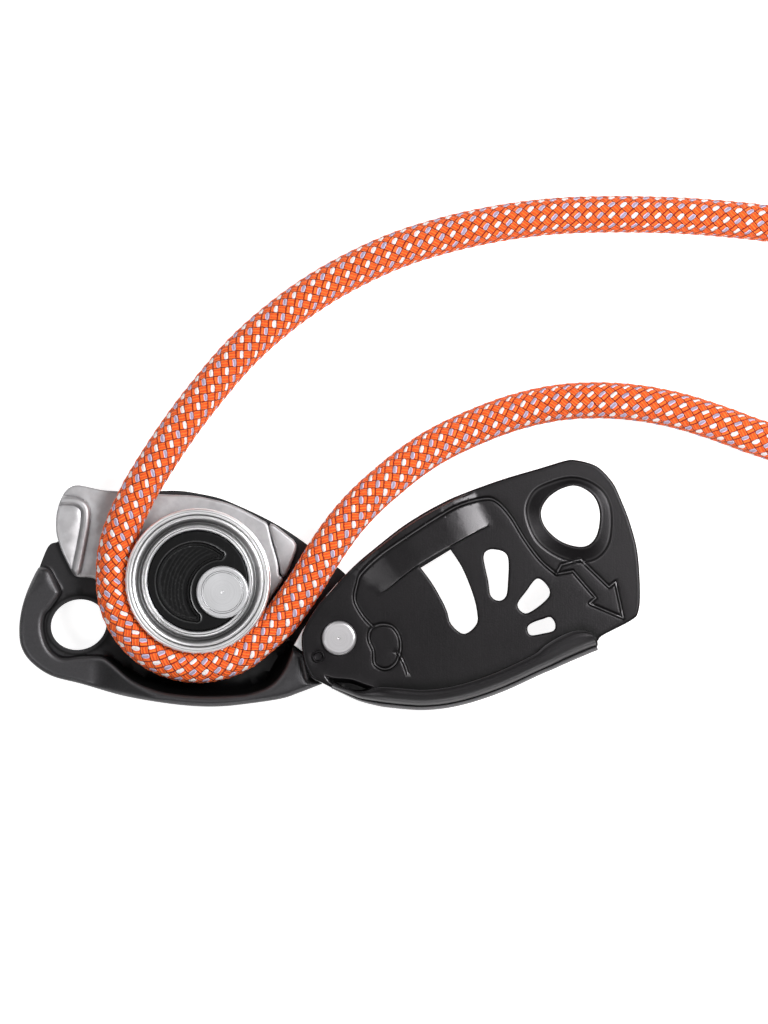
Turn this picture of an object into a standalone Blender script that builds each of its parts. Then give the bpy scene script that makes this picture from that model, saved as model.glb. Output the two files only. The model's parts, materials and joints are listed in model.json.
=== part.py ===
"""A rope grab with a pulley cam, opened flat on its back, with a rope laid round its pulley.

Sizes are in millimetres and turned into metres by MM where a mesh is made. X runs along the device,
Y across it and Z through it, from the surface it lies on (z = 0) up to its outer face.
"""

import math

import bmesh
import bpy
from mathutils import Matrix, Vector

MM = 0.001
GAP = 0.3  # clearance between neighbouring solids

# Driving dimensions
ROPE_D = 9.5
ROPE_Z = 19.6  # height of the rope's centreline on the pulley
PIVOT = (2.7, -13.8)  # the moving side plate swings here
AXLE = (-27.6, -1.9)  # the cam and the handle turn here
PULLEY = (-34.0, 1.0)  # the pulley turns here, off the cam's axle
DETENT = (-2.7, -18.6)
EYE = (-65.3, -10.5)

PLATE_BOTTOM, PLATE_TOP = 8.0, 11.0  # fixed side plate
LINER_TOP = 12.8
RIVET_TOP = 12.2  # the liner's rivets end inside it
PULLEY_BOTTOM, PULLEY_TOP = 13.6, 25.6
PULLEY_R, PULLEY_BORE_R = 18.83, 14.1
CAM_R, CAM_TOP = 13.0, 24.9
SWING_BOTTOM, SWING_TOP = 26.4, 28.6  # moving side plate
WALL_TOP, RIM_TOP, RIM_BOTTOM = 24.0, 13.6, 6.4
RAMP_START, RAMP_LENGTH = -63.0, 20.0  # where the low rim rises into the full wall

AXLE_R, AXLE_HEAD_R = 3.5, 6.83
AXLE_BUSH_R, CAM_BUSH_R = 3.65, 4.8
PIN_ORBIT, PIN_R = 9.0, 1.5  # the drive pin's distance from the axle, and its radius
PIN_REST, PIN_LOCKED = 155.8, 95.8  # the drive pin's bearing from the axle, in degrees

ARM_BOTTOM, ARM_TOP = 4.8, 7.6
ARM_REACH, ARM_BEARING = 20.0, 20.0
GRIP_TOP, GRIP_REACH, GRIP_BEARING = 3.6, 36.0, 168.0
HUB_R, KNUCKLE_R, GRIP_END_R = 12.3, 5.2, 4.3
BUMPER = (-52.6, 14.8)
LINER_RIVETS = [(-57.0, 20.5), (-22.0, 16.2)]
PAD_SCREWS = [(-5.7, -13.6), (0.4, -3.6)]

COIL_CENTRE = (178.0, -10.0)
COIL_RADII = (52.3, 42.8)  # the two rings of turns in each layer

ROUND = 48  # sides of a large round piece
SMALL_ROUND = 20


def polar(centre, radius, degrees):
    """The point at that distance and bearing from centre."""
    angle = math.radians(degrees)
    return (centre[0] + radius * math.cos(angle), centre[1] + radius * math.sin(angle))


KNUCKLE = polar(AXLE, ARM_REACH, ARM_BEARING)
GRIP_END = polar(KNUCKLE, GRIP_REACH, GRIP_BEARING)
PIN = polar(AXLE, PIN_ORBIT, PIN_REST)


# Materials: colour, roughness, metallic
MATERIALS = {
    "black_anodised": ((0.035, 0.035, 0.038), 0.42, 0.6),
    "dark_body": ((0.05, 0.05, 0.052), 0.5, 0.5),
    "steel_plate": ((0.42, 0.42, 0.43), 0.35, 1.0),
    "bright_steel": ((0.72, 0.72, 0.72), 0.28, 1.0),
    "pulley_alloy": ((0.36, 0.36, 0.37), 0.3, 1.0),
    "bronze": ((0.5, 0.33, 0.16), 0.4, 1.0),
    "spring_steel": ((0.3, 0.3, 0.31), 0.35, 1.0),
    "handle_nylon": ((0.03, 0.03, 0.03), 0.6, 0.0),
    "rope_orange": ((0.9, 0.2, 0.03), 0.8, 0.0),
}


def clear_scene():
    for old in list(bpy.data.objects):
        bpy.data.objects.remove(old)


def make_materials():
    made = {}
    for name, (colour, roughness, metallic) in MATERIALS.items():
        material = bpy.data.materials.new(name)
        material.use_nodes = True
        shader = material.node_tree.nodes["Principled BSDF"]
        shader.inputs["Base Color"].default_value = (*colour, 1.0)
        shader.inputs["Roughness"].default_value = roughness
        shader.inputs["Metallic"].default_value = metallic
        made[name] = material
    return made


# Outlines, all counter-clockwise


def spline_run(points, step, before=None, after=None):
    """Points along a Catmull-Rom curve through the points, without the last one."""
    ends = [before or points[0], *points, after or points[-1]]
    out = []
    for i in range(1, len(ends) - 2):
        p0, p1, p2, p3 = (Vector(p) for p in ends[i - 1 : i + 3])
        count = max(1, round((p2 - p1).length / step))
        for k in range(count):
            t = k / count
            point = 0.5 * (
                2 * p1
                + (p2 - p0) * t
                + (2 * p0 - 5 * p1 + 4 * p2 - p3) * t**2
                + (3 * p1 - p0 - 3 * p2 + p3) * t**3
            )
            out.append(tuple(point))
    return out


def smooth_loop(points, step=3.0):
    """A closed outline through (x, y) points, where a third value marks a sharp corner."""
    flat = [p[:2] for p in points]
    corners = [i for i, p in enumerate(points) if len(p) > 2]
    if not corners:
        return spline_run([*flat, flat[0]], step, flat[-1], flat[1])
    flat = flat[corners[0] :] + flat[: corners[0]]
    marks = [c - corners[0] for c in corners] + [len(flat)]
    flat.append(flat[0])
    out = []
    for a, b in zip(marks, marks[1:]):
        out += spline_run(flat[a : b + 1], step)
    return out


def circle(centre, radius, count=ROUND):
    return [polar(centre, radius, 360 * k / count) for k in range(count)]


def ellipse(centre, half_long, half_short, tilt, count=36):
    c, s = math.cos(math.radians(tilt)), math.sin(math.radians(tilt))
    out = []
    for k in range(count):
        angle = 2 * math.pi * k / count
        u, v = half_long * math.cos(angle), half_short * math.sin(angle)
        out.append((centre[0] + u * c - v * s, centre[1] + u * s + v * c))
    return out


def arc(centre, radius, start, end, step=12.0):
    count = max(2, round(abs(end - start) / step))
    return [
        polar(centre, radius, start + (end - start) * k / count)
        for k in range(count + 1)
    ]


def arc_slot(centre, orbit, half_width, start, end):
    """A curved slot with round ends, whose end centres lie at the two bearings."""
    first, last = polar(centre, orbit, start), polar(centre, orbit, end)
    return (
        arc(centre, orbit + half_width, start, end)
        + arc(last, half_width, end, end + 180, 30)[1:-1]
        + arc(centre, orbit - half_width, end, start)
        + arc(first, half_width, start + 180, start + 360, 30)[1:-1]
    )


def belt(first, first_r, last, last_r, step=15.0):
    """The outline of a band round two circles."""
    along = Vector(last) - Vector(first)
    bearing = math.degrees(math.atan2(along.y, along.x))
    lean = math.degrees(math.acos((first_r - last_r) / along.length))
    round_first = arc(first, first_r, bearing + lean, bearing + 360 - lean, step)
    return round_first + arc(last, last_r, bearing - lean, bearing + lean, step)


# Solids


def mesh_object(name, mesh, material):
    mesh.materials.clear()
    mesh.materials.append(material)
    mesh.shade_smooth()
    mesh.set_sharp_from_angle(angle=math.radians(35))
    made = bpy.data.objects.new(name, mesh)
    bpy.context.scene.collection.objects.link(made)
    return made


def closed_mesh(name, edit):
    """A mesh from bmesh data in millimetres, welded and with its faces pointing out."""
    bmesh.ops.remove_doubles(edit, verts=edit.verts, dist=1e-3)
    bmesh.ops.recalc_face_normals(edit, faces=edit.faces)
    edit.transform(Matrix.Scale(MM, 4))
    mesh = bpy.data.meshes.new(name)
    edit.to_mesh(mesh)
    edit.free()
    return mesh


def prism(name, material, outline, bottom, top, holes=(), edge=0.0, edge_steps=1):
    """A flat plate between two heights, with holes, and with its edges rounded by `edge`."""
    curve = bpy.data.curves.new(name, "CURVE")
    curve.dimensions = "2D"
    curve.fill_mode = "BOTH"
    curve.extrude = (top - bottom) / 2 - edge
    curve.bevel_depth = edge
    curve.bevel_resolution = edge_steps - 1
    curve.offset = -edge
    for loop in (outline, *holes):
        spline = curve.splines.new("POLY")
        spline.points.add(len(loop) - 1)
        for point, (x, y) in zip(spline.points, loop):
            point.co = (x, y, 0, 1)
        spline.use_cyclic_u = True
    guide = bpy.data.objects.new(name + "_outline", curve)
    bpy.context.scene.collection.objects.link(guide)
    filled = bpy.data.meshes.new_from_object(guide)
    bpy.data.objects.remove(guide)
    edit = bmesh.new()
    edit.from_mesh(filled)
    edit.transform(Matrix.Translation((0, 0, (top + bottom) / 2)))
    return mesh_object(name, closed_mesh(name, edit), material)


def turned(name, material, centre, profile, count=ROUND):
    """A turned piece: a closed profile of (radius, height), spun about the centre."""
    edit = bmesh.new()
    rings = []
    for radius, height in profile:
        if radius == 0:
            rings.append([edit.verts.new((*centre, height))] * count)
        else:
            rings.append(
                [edit.verts.new((x, y, height)) for x, y in circle(centre, radius, count)]
            )
    for lower, upper in zip(rings, rings[1:] + rings[:1]):
        for k in range(count):
            ring = [lower[k], lower[(k + 1) % count], upper[(k + 1) % count], upper[k]]
            corners = list(dict.fromkeys(ring))
            if len(corners) > 2:
                edit.faces.new(corners)
    return mesh_object(name, closed_mesh(name, edit), material)


def swept(name, material, sections):
    """A solid through equal closed sections of points, capped at both ends."""
    edit = bmesh.new()
    rows = [[edit.verts.new(p) for p in section] for section in sections]
    count = len(rows[0])
    for a, b in zip(rows, rows[1:]):
        for k in range(count):
            edit.faces.new((a[k], a[(k + 1) % count], b[(k + 1) % count], b[k]))
    edit.faces.new(rows[0])
    edit.faces.new(rows[-1])
    return mesh_object(name, closed_mesh(name, edit), material)


def tube(name, material, route, diameter, sides_step=3):
    """A round tube along a route, as a curve with filled ends."""
    curve = bpy.data.curves.new(name, "CURVE")
    curve.dimensions = "3D"
    curve.bevel_depth = diameter / 2 * MM
    curve.bevel_resolution = sides_step
    curve.use_fill_caps = True
    spline = curve.splines.new("POLY")
    spline.points.add(len(route) - 1)
    for point, place in zip(spline.points, route):
        point.co = (*(value * MM for value in place), 1)
    curve.materials.append(material)
    made = bpy.data.objects.new(name, curve)
    bpy.context.scene.collection.objects.link(made)
    return made


def combine(target, others, operation):
    """Joins the others to the target, or cuts them from it, and removes them."""
    for other in others:
        step = target.modifiers.new(operation.lower(), "BOOLEAN")
        step.operation = operation
        step.solver = "EXACT"
        step.object = other
    graph = bpy.context.evaluated_depsgraph_get()
    result = bpy.data.meshes.new_from_object(target.evaluated_get(graph), depsgraph=graph)
    material = target.data.materials[0]
    name = target.name
    for spent in (target, *others):
        bpy.data.objects.remove(spent)
    return mesh_object(name, result, material)


def body(name, axis, parent=None):
    """The empty that a moving body's pieces hang from, on its joint's axis."""
    made = bpy.data.objects.new(name, None)
    bpy.context.scene.collection.objects.link(made)
    origin = parent["axis"] if parent else (0.0, 0.0)
    made["axis"] = axis
    made.parent = parent
    made.location = ((axis[0] - origin[0]) * MM, (axis[1] - origin[1]) * MM, 0)
    return made


def hang(parent, *pieces):
    """Puts pieces under a body, with each mesh counted from the body's axis."""
    x, y = parent["axis"]
    for piece in pieces:
        piece.data.transform(Matrix.Translation((-x * MM, -y * MM, 0)))
        piece.parent = parent


# The fixed side

BODY_OUTLINE = [
    (-73.2, 10.0), (-70.6, 11.3), (-70.0, 14.0), (-69.6, 19.0), (-67.6, 23.0), (-64.6, 24.2),
    (-54.0, 23.6), (-43.8, 24.4), (-38.6, 24.4), (-33.4, 23.6), (-28.2, 22.4), (-23.1, 20.3),
    (-17.9, 17.9), (-12.7, 15.1), (-7.5, 11.7), (-1.2, 7.0), (4.5, 2.5), (9.5, -3.5),
    (11.6, -10.5), (10.0, -18.0), (5.0, -23.4), (-2.4, -25.4), (-13.0, -29.2), (-23.1, -30.7),
    (-36.0, -31.0), (-54.2, -28.3), (-64.6, -25.4), (-72.2, -23.2), (-77.0, -20.0),
    (-79.6, -16.2), (-80.2, -11.8), (-79.6, -6.7), (-78.0, -1.5), (-76.0, 3.3),
]
RIM_OUTLINE = [
    (-76.4, 3.4), (-78.6, -1.4), (-80.2, -6.6), (-80.8, -11.8), (-80.2, -16.4), (-77.6, -20.3),
    (-72.4, -23.8), (-64.6, -25.9), (-54.2, -28.8), (-43.8, -30.6), (-36.0, -31.5),
    (-29.5, -31.7), (-23.1, -31.2), (-12.7, -29.7), (-7.5, -28.0), (-1.8, -25.8, 1),
    (-5.4, -24.6, 1), (-6.8, -18.3, 1), (-9.4, -16.9, 1), (-11.9, -22.4), (-15.4, -26.2),
    (-20.5, -28.2), (-26.0, -28.8), (-33.4, -28.9), (-41.2, -28.2), (-46.4, -26.9),
    (-51.6, -24.5), (-56.8, -20.2), (-59.4, -18.8), (-64.6, -18.8), (-68.6, -19.2),
    (-71.2, -18.4), (-73.4, -16.0), (-74.6, -11.8), (-74.2, -8.1), (-72.4, -5.8), (-70.2, -2.6),
    (-70.2, -1.2), (-71.9, 3.1), (-73.4, 4.6), (-75.3, 4.6),
]
LINER_OUTLINE = [
    (-69.4, 23.3), (-70.4, 21.0), (-71.1, 18.1), (-71.2, 15.5), (-71.0, 12.9), (-69.8, 9.0),
    (-68.4, 5.9), (-66.7, 2.8), (-65.4, 1.9), (-60.7, 1.1), (-56.2, -5.5), (-47.0, -14.8),
    (-36.0, -18.8), (-24.0, -17.2), (-16.4, -11.0), (-15.6, -4.5), (-12.0, 1.2), (-12.9, 2.5),
    (-13.3, 5.9), (-14.8, 11.1), (-15.9, 15.6), (-17.4, 16.8), (-20.5, 18.5), (-25.6, 20.9),
    (-30.8, 22.3), (-36.0, 23.2), (-43.8, 23.5), (-54.2, 24.3), (-59.4, 24.7), (-65.1, 25.9),
    (-67.3, 25.5), (-68.6, 24.5),
]
BEAD_OUTLINE = [
    (-69.0, 22.8), (-69.8, 21.2), (-66.4, 20.3), (-65.2, 18.6), (-65.2, 16.0), (-66.8, 4.4),
    (-66.0, 2.8), (-64.9, 3.2), (-61.9, 18.8), (-62.8, 20.9), (-64.6, 22.2),
]
CORNER_OUTLINE = [
    (-15.4, 15.2), (-14.4, 11.1), (-12.9, 5.9), (-12.3, 2.8), (-11.3, 2.6), (-8.8, 9.0),
    (-9.2, 11.2), (-10.3, 12.2), (-14.4, 15.4),
]
PAD_OUTLINE = [
    (-9.0, -15.7, 1), (-6.9, -11.9), (-2.3, -4.9), (2.3, 0.5, 1), (3.9, -0.9, 1), (-0.4, -5.9),
    (-4.4, -12.4), (-6.3, -17.7, 1),
]


def wall_height(x, low, high):
    """The rim's height at x: low round the eye, rising smoothly to the full wall."""
    t = min(max((x - RAMP_START) / RAMP_LENGTH, 0.0), 1.0)
    return low + (high - low) * t * t * (3 - 2 * t)


def fixed_side_plate(finish):
    """The forged plate: a flat web, a low rim round the eye and a full wall below the pulley."""
    eye = ellipse(EYE, 7.35, 6.5, 18)
    slot = arc_slot(AXLE, PIN_ORBIT, PIN_R + 0.2, PIN_LOCKED - 1, PIN_REST + 1)
    holes = [
        eye,
        circle(AXLE, AXLE_R + 0.2, SMALL_ROUND),
        slot,
        circle(PIVOT, 2.7, 24),
        *(circle(place, 1.3, 12) for place in LINER_RIVETS + PAD_SCREWS),
    ]
    web = prism(
        "fixed_side_plate", finish, smooth_loop(BODY_OUTLINE), PLATE_BOTTOM, PLATE_TOP,
        holes, 0.5, 1,
    )
    rim = prism("rim", finish, smooth_loop(RIM_OUTLINE), -1, 1, (), 0.0)
    rim_edge = 0.9
    edit = bmesh.new()
    edit.from_mesh(rim.data)
    for vert in edit.verts:
        x = vert.co.x / MM
        high = vert.co.z > 0
        vert.co.z = wall_height(x, *((RIM_TOP, WALL_TOP) if high else (RIM_BOTTOM, 0.0))) * MM
    edges = [e for e in edit.edges if e.is_manifold and e.calc_face_angle() > math.radians(60)]
    edges = [e for e in edges if abs(e.verts[0].co.z - e.verts[1].co.z) < 2.5 * MM]
    bmesh.ops.bevel(
        edit, geom=edges, offset=rim_edge * MM, segments=1, profile=0.5, affect="EDGES",
        clamp_overlap=True,
    )
    edit.to_mesh(rim.data)
    edit.free()
    return combine(web, [rim], "UNION")


def friction_liner(finish):
    """The sheet liner, with a raised bead, and blind holes below for its rivets."""
    liner = prism(
        "friction_liner", finish, smooth_loop(LINER_OUTLINE), PLATE_TOP + GAP, LINER_TOP,
        [circle(AXLE, 12.0, 36)], 0.4,
    )
    bead = prism(
        "bead", finish, smooth_loop(BEAD_OUTLINE, 2.4), LINER_TOP - 0.6, LINER_TOP + 0.9,
        (), 0.5, 2,
    )
    liner = combine(liner, [bead], "UNION")
    blind = [
        prism("rivet_hole", finish, circle(p, 1.3, 12), PLATE_TOP - 1, RIVET_TOP + 0.1)
        for p in LINER_RIVETS
    ]
    return combine(liner, blind, "DIFFERENCE")


def blind_rivet(name, finish, place):
    """A rivet with its head sunk in the back of the plate and its shank up inside the liner."""
    return turned(
        name, finish, place,
        [(0, PLATE_BOTTOM + 0.3), (1.1, PLATE_BOTTOM + 0.3), (1.1, RIVET_TOP), (0, RIVET_TOP)],
        16,
    )


def pad_screw(name, finish, place):
    """A countersunk screw from the back of the plate into the friction pad."""
    return turned(
        name, finish, place,
        [(0, PLATE_BOTTOM - 1.2), (2.0, PLATE_BOTTOM - 1.2), (2.0, PLATE_BOTTOM - 0.2),
         (1.0, PLATE_BOTTOM - 0.2), (1.0, PLATE_TOP + 2.6), (0, PLATE_TOP + 2.6)],
        16,
    )


def friction_pad(finish):
    pad = prism(
        "friction_pad", finish, smooth_loop(PAD_OUTLINE, 2.5), PLATE_TOP + GAP, WALL_TOP + 1.4,
        (), 0.3, 1,
    )
    cutters = [
        prism("screw_hole", finish, circle(p, 1.25, 12), PLATE_TOP - 1, PLATE_TOP + 3.0)
        for p in PAD_SCREWS
    ]
    return combine(pad, cutters, "DIFFERENCE")


def fixed_pieces(m):
    """Everything that stays with the fixed side plate."""
    corner = prism(
        "corner_pad", m["steel_plate"], smooth_loop(CORNER_OUTLINE, 1.8),
        PLATE_TOP + GAP, 13.3, (), 0.6, 2,
    )
    post = turned(
        "pivot_post", m["bright_steel"], PIVOT,
        [(2.7, 11.3), (5.2, 11.3), (5.2, 25.5), (2.7, 25.5)], SMALL_ROUND,
    )
    washer = turned(
        "pivot_washer", m["bronze"], PIVOT,
        [(2.7, 25.7), (5.1, 25.7), (5.1, 26.2), (2.7, 26.2)], SMALL_ROUND,
    )
    rivet = turned(
        "pivot_rivet", m["bright_steel"], PIVOT,
        [(0, 6.4), (3.6, 6.4), (4.2, 7.0), (4.2, 7.8), (2.5, 7.8), (2.5, 28.8), (4.47, 28.8),
         (4.47, 29.4), (3.75, 30.1), (0.3, 30.1), (0, 29.9)],
        32,
    )
    axle = turned(
        "cam_axle", m["bright_steel"], AXLE,
        [(0, 3.85), (AXLE_R, 3.85), (AXLE_R, 3.95), (2.9, 3.95), (2.9, 4.65), (AXLE_R, 4.65),
         (AXLE_R, 25.1), (AXLE_HEAD_R, 25.1), (AXLE_HEAD_R, 25.75), (AXLE_HEAD_R - 0.3, 26.0),
         (0, 26.0)],
        40,
    )
    ring = turned(
        "axle_retaining_ring", m["spring_steel"], AXLE,
        [(3.05, 4.02), (5.2, 4.02), (5.2, 4.58), (3.05, 4.58)], SMALL_ROUND,
    )
    thrust = turned(
        "cam_thrust_washer", m["bronze"], AXLE,
        [(3.75, 11.2), (6.2, 11.2), (6.2, 13.35), (3.75, 13.35)], SMALL_ROUND,
    )
    bumper = turned(
        "handle_bumper", m["handle_nylon"], BUMPER,
        [(0, 1.0), (2.6, 1.0), (3.2, 1.6), (3.2, 7.8), (0, 7.8)], 24,
    )
    pieces = [
        fixed_side_plate(m["dark_body"]),
        friction_liner(m["steel_plate"]),
        friction_pad(m["bright_steel"]),
        corner, post, washer, rivet, axle, ring, thrust, bumper,
        return_spring(m["spring_steel"]),
    ]
    for label, place in zip(("left", "right"), LINER_RIVETS):
        pieces.append(blind_rivet(f"liner_rivet_{label}", m["bright_steel"], place))
    for label, place in zip(("lower", "upper"), PAD_SCREWS):
        pieces.append(pad_screw(f"pad_screw_{label}", m["spring_steel"], place))
    return pieces


def return_spring(finish):
    """A torsion spring round the axle, in the hub's pocket."""
    radius, wire, turns, low = 5.75, 0.7, 1.5, 5.95
    steps = 20
    route = []
    for k in range(int(turns * steps) + 1):
        x, y = polar(AXLE, radius, 360 * k / steps)
        route.append((x, y, low + (wire + 0.12) * k / steps))
    return tube("cam_return_spring", finish, route, wire, 1)


# The cam and its pulley


def crescent(disc, disc_r, cut, cut_r, tip=1.2):
    """The part of one disc that lies outside another, with its two tips cut blunt."""
    apart = (Vector(cut) - Vector(disc)).length
    bearing = math.degrees(math.atan2(cut[1] - disc[1], cut[0] - disc[0]))
    along = (apart**2 + disc_r**2 - cut_r**2) / (2 * apart)
    outer_half = math.degrees(math.acos(along / disc_r))
    inner_half = math.degrees(math.acos((apart - along) / cut_r))
    outer_trim, inner_trim = math.degrees(tip / disc_r), math.degrees(tip / cut_r)
    outer_span, inner_span = outer_half + outer_trim, inner_half - inner_trim
    outer = arc(disc, disc_r, bearing + outer_span, bearing + 360 - outer_span)
    inner = arc(cut, cut_r, bearing + 180 + inner_span, bearing + 180 - inner_span)
    return outer + inner


def cam_pieces(m):
    disc = turned(
        "cam_disc", m["black_anodised"], PULLEY,
        [(0, PULLEY_BOTTOM), (CAM_R, PULLEY_BOTTOM), (CAM_R, CAM_TOP - 0.3),
         (CAM_R - 0.3, CAM_TOP), (0, CAM_TOP)],
    )
    recess = crescent((-34.5, 0.7), 10.5, AXLE, 8.3)
    disc = combine(
        disc,
        [
            prism("bore", m["bronze"], circle(AXLE, CAM_BUSH_R + 0.15, SMALL_ROUND), 12, 27),
            prism("recess", m["bronze"], recess, CAM_TOP - 1.7, 27),
            prism("pin_hole", m["bronze"], circle(PIN, PIN_R + 0.15, 20), 12, 16.4),
        ],
        "DIFFERENCE",
    )
    bush = turned(
        "cam_bush", m["bronze"], AXLE,
        [(AXLE_BUSH_R, 13.7), (CAM_BUSH_R, 13.7), (CAM_BUSH_R, 24.8), (AXLE_BUSH_R, 24.8)],
        SMALL_ROUND,
    )
    pin = turned(
        "cam_drive_pin", m["bright_steel"], PIN,
        [(0, 5.1), (PIN_R - 0.2, 5.1), (PIN_R, 5.3), (PIN_R, 16.1), (0, 16.1)], 20,
    )
    ring = turned(
        "wheel_retaining_ring", m["spring_steel"], PULLEY,
        [(CAM_R + 0.15, 23.8), (13.85, 23.8), (13.85, 24.4), (CAM_R + 0.15, 24.4)],
    )
    return [disc, bush, pin, ring]


def wheel_pieces(m):
    middle, half = ROPE_Z, 5.0
    groove = [
        (16.65 + 1.9 * (abs(k) / 2) ** 2, middle - half * k / 2) for k in range(-2, 3)
    ]
    sheave = turned(
        "wheel_sheave", m["pulley_alloy"], PULLEY,
        [(PULLEY_BORE_R, PULLEY_BOTTOM), (18.5, PULLEY_BOTTOM), (PULLEY_R, 13.9),
         (PULLEY_R, 14.4), *reversed(groove), (PULLEY_R, 24.8), (PULLEY_R, 25.3),
         (18.55, PULLEY_TOP), (17.3, PULLEY_TOP), (16.9, 24.8), (15.4, 24.0), (14.6, 24.3),
         (14.35, 24.9), (PULLEY_BORE_R, 24.9)],
    )
    bush = turned(
        "wheel_bush", m["bronze"], PULLEY,
        [(CAM_R + 0.15, 14.0), (13.95, 14.0), (13.95, 23.5), (CAM_R + 0.15, 23.5)],
    )
    return [sheave, bush]


# The moving side plate

SWING_OUTLINE = [
    (-6.8, -17.7), (-7.0, -13.3), (-5.7, -9.9), (-4.1, -7.3), (-2.3, -4.7), (0.3, -1.9),
    (4.2, 2.5), (8.1, 6.3), (13.3, 10.6), (18.5, 14.7), (23.7, 18.1), (28.9, 21.0),
    (34.1, 23.4), (44.5, 27.2), (54.9, 30.3), (61.6, 32.3), (64.0, 32.4), (67.9, 31.5),
    (70.5, 30.1), (73.8, 26.4), (75.9, 22.0), (78.2, 16.0), (80.1, 8.5), (80.8, -1.4),
    (80.3, -7.1), (78.2, -9.4), (70.4, -13.6), (69.6, -16.2), (65.3, -18.2), (54.9, -22.6),
    (44.5, -27.3), (34.1, -30.6), (25.0, -31.8), (15.9, -31.2), (8.1, -29.6), (2.9, -27.7),
    (-1.8, -25.4), (-4.4, -24.0), (-6.1, -20.8),
]
CARABINER_HOLE = [
    (55.1, 18.9), (56.9, 22.5), (60.6, 25.0), (64.5, 25.6), (68.4, 23.3), (70.2, 19.4),
    (69.9, 14.2), (68.1, 10.9), (65.0, 9.9), (60.1, 11.4), (56.2, 15.0),
]
COLLAR_OUTLINE = [
    (51.2, 18.9), (53.1, 24.1), (57.5, 26.6), (63.2, 27.9), (68.4, 26.4), (72.0, 23.1),
    (73.4, 18.1), (72.8, 11.1), (69.9, 7.1), (65.3, 5.9), (59.5, 7.3), (53.8, 11.7),
]
WINDOWS = [
    [(23.9, 4.4, 1), (26.8, 0.5), (29.2, -3.6), (30.7, -6.8), (31.8, -10.2), (35.1, -12.7),
     (38.3, -10.2), (38.4, -6.6), (37.2, -1.9), (34.6, 4.4), (31.6, 9.1, 1)],
    [(40.2, 7.2), (41.4, 9.0), (43.4, 9.1), (45.6, 8.4), (46.6, 6.4), (46.5, 1.0),
     (46.0, -2.9), (44.2, -4.1), (42.1, -2.9), (41.4, 1.0)],
    [(54.1, 1.6), (56.8, -0.4), (57.2, -2.8), (54.4, -5.6), (51.0, -7.4), (49.0, -5.2),
     (51.2, -1.8)],
    [(51.6, -11.0), (53.0, -9.8), (55.6, -8.9), (57.5, -8.4), (58.7, -10.0), (58.4, -11.8),
     (55.6, -12.6), (52.3, -13.0)],
]
# The bridge strip's stations, from its left end: outer edge, inner edge and height over the plate
STRIP_STATIONS = [
    (5.2, 3.2, 14.6, -1.7, -0.1), (9.4, 6.9, 16.4, -0.5, 1.0), (12.6, 9.6, 18.9, 1.6, 1.8),
    (18.9, 14.5, 23.7, 5.2, 2.0), (24.4, 18.0, 28.2, 8.0, 2.0), (29.5, 20.8, 32.6, 10.4, 2.0),
    (32.8, 22.4, 36.0, 12.3, 1.7), (36.0, 23.7, 38.9, 13.8, 0.7), (38.6, 24.7, 41.5, 15.1, -0.1),
]
# The lip's stations along the plate's lower edge: x, y and how wide the roll is there
LIP_STATIONS = [
    (0.6, -26.8, 0.35), (5.0, -28.9, 0.5), (8.1, -30.2, 0.66), (11.8, -31.2, 0.95),
    (15.9, -31.9, 1.0), (25.0, -32.5, 1.0), (34.1, -31.3, 1.0), (44.5, -28.0, 1.0),
    (54.9, -23.3, 1.02), (60.5, -20.8, 1.15), (65.3, -18.8, 1.25), (69.9, -16.9, 1.1),
]
# The rolled lip's section: distance in from its outer edge, and height above the plate's underside
LIP_SECTION = [
    (1.3, 0.0), (0.35, 0.6), (0.0, 2.0), (0.1, 4.2), (0.9, 5.7), (2.4, 6.4), (4.2, 6.3),
    (5.3, 5.2), (4.9, 4.4), (3.6, 4.8), (2.5, 4.2), (2.0, 2.1), (2.6, 1.6), (2.6, 0.3),
]


def rolled_lip(finish):
    """The lip: one section carried along the plate's lower edge, growing from its left end."""
    stations = spline_run([Vector(s) for s in LIP_STATIONS], 4.2) + [LIP_STATIONS[-1]]
    sections = []
    for i, (x, y, width) in enumerate(stations):
        back, ahead = stations[max(i - 1, 0)], stations[min(i + 1, len(stations) - 1)]
        along = Vector((ahead[0] - back[0], ahead[1] - back[1])).normalized()
        tall = 0.55 + 0.45 * min(width, 1.0)
        sections.append(
            [
                (x - along.y * u * width, y + along.x * u * width, SWING_BOTTOM + h * tall)
                for u, h in LIP_SECTION
            ]
        )
    return swept("lip", finish, sections)


def bridge_strip(finish):
    """The raised strip: a low section whose top ramps up from both ends."""
    sections = []
    edge, root = 0.5, SWING_TOP - 0.8
    for ax, ay, bx, by, rise in STRIP_STATIONS:
        outer, inner = Vector((ax, ay)), Vector((bx, by))
        inward = (inner - outer).normalized() * edge
        top = SWING_TOP + rise
        corners = [
            (outer, root), (outer, top - edge), (outer + inward, top),
            (inner - inward, top), (inner, top - edge), (inner, root),
        ]
        sections.append([(*place, height) for place, height in corners])
    return swept("strip", finish, sections)


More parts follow.
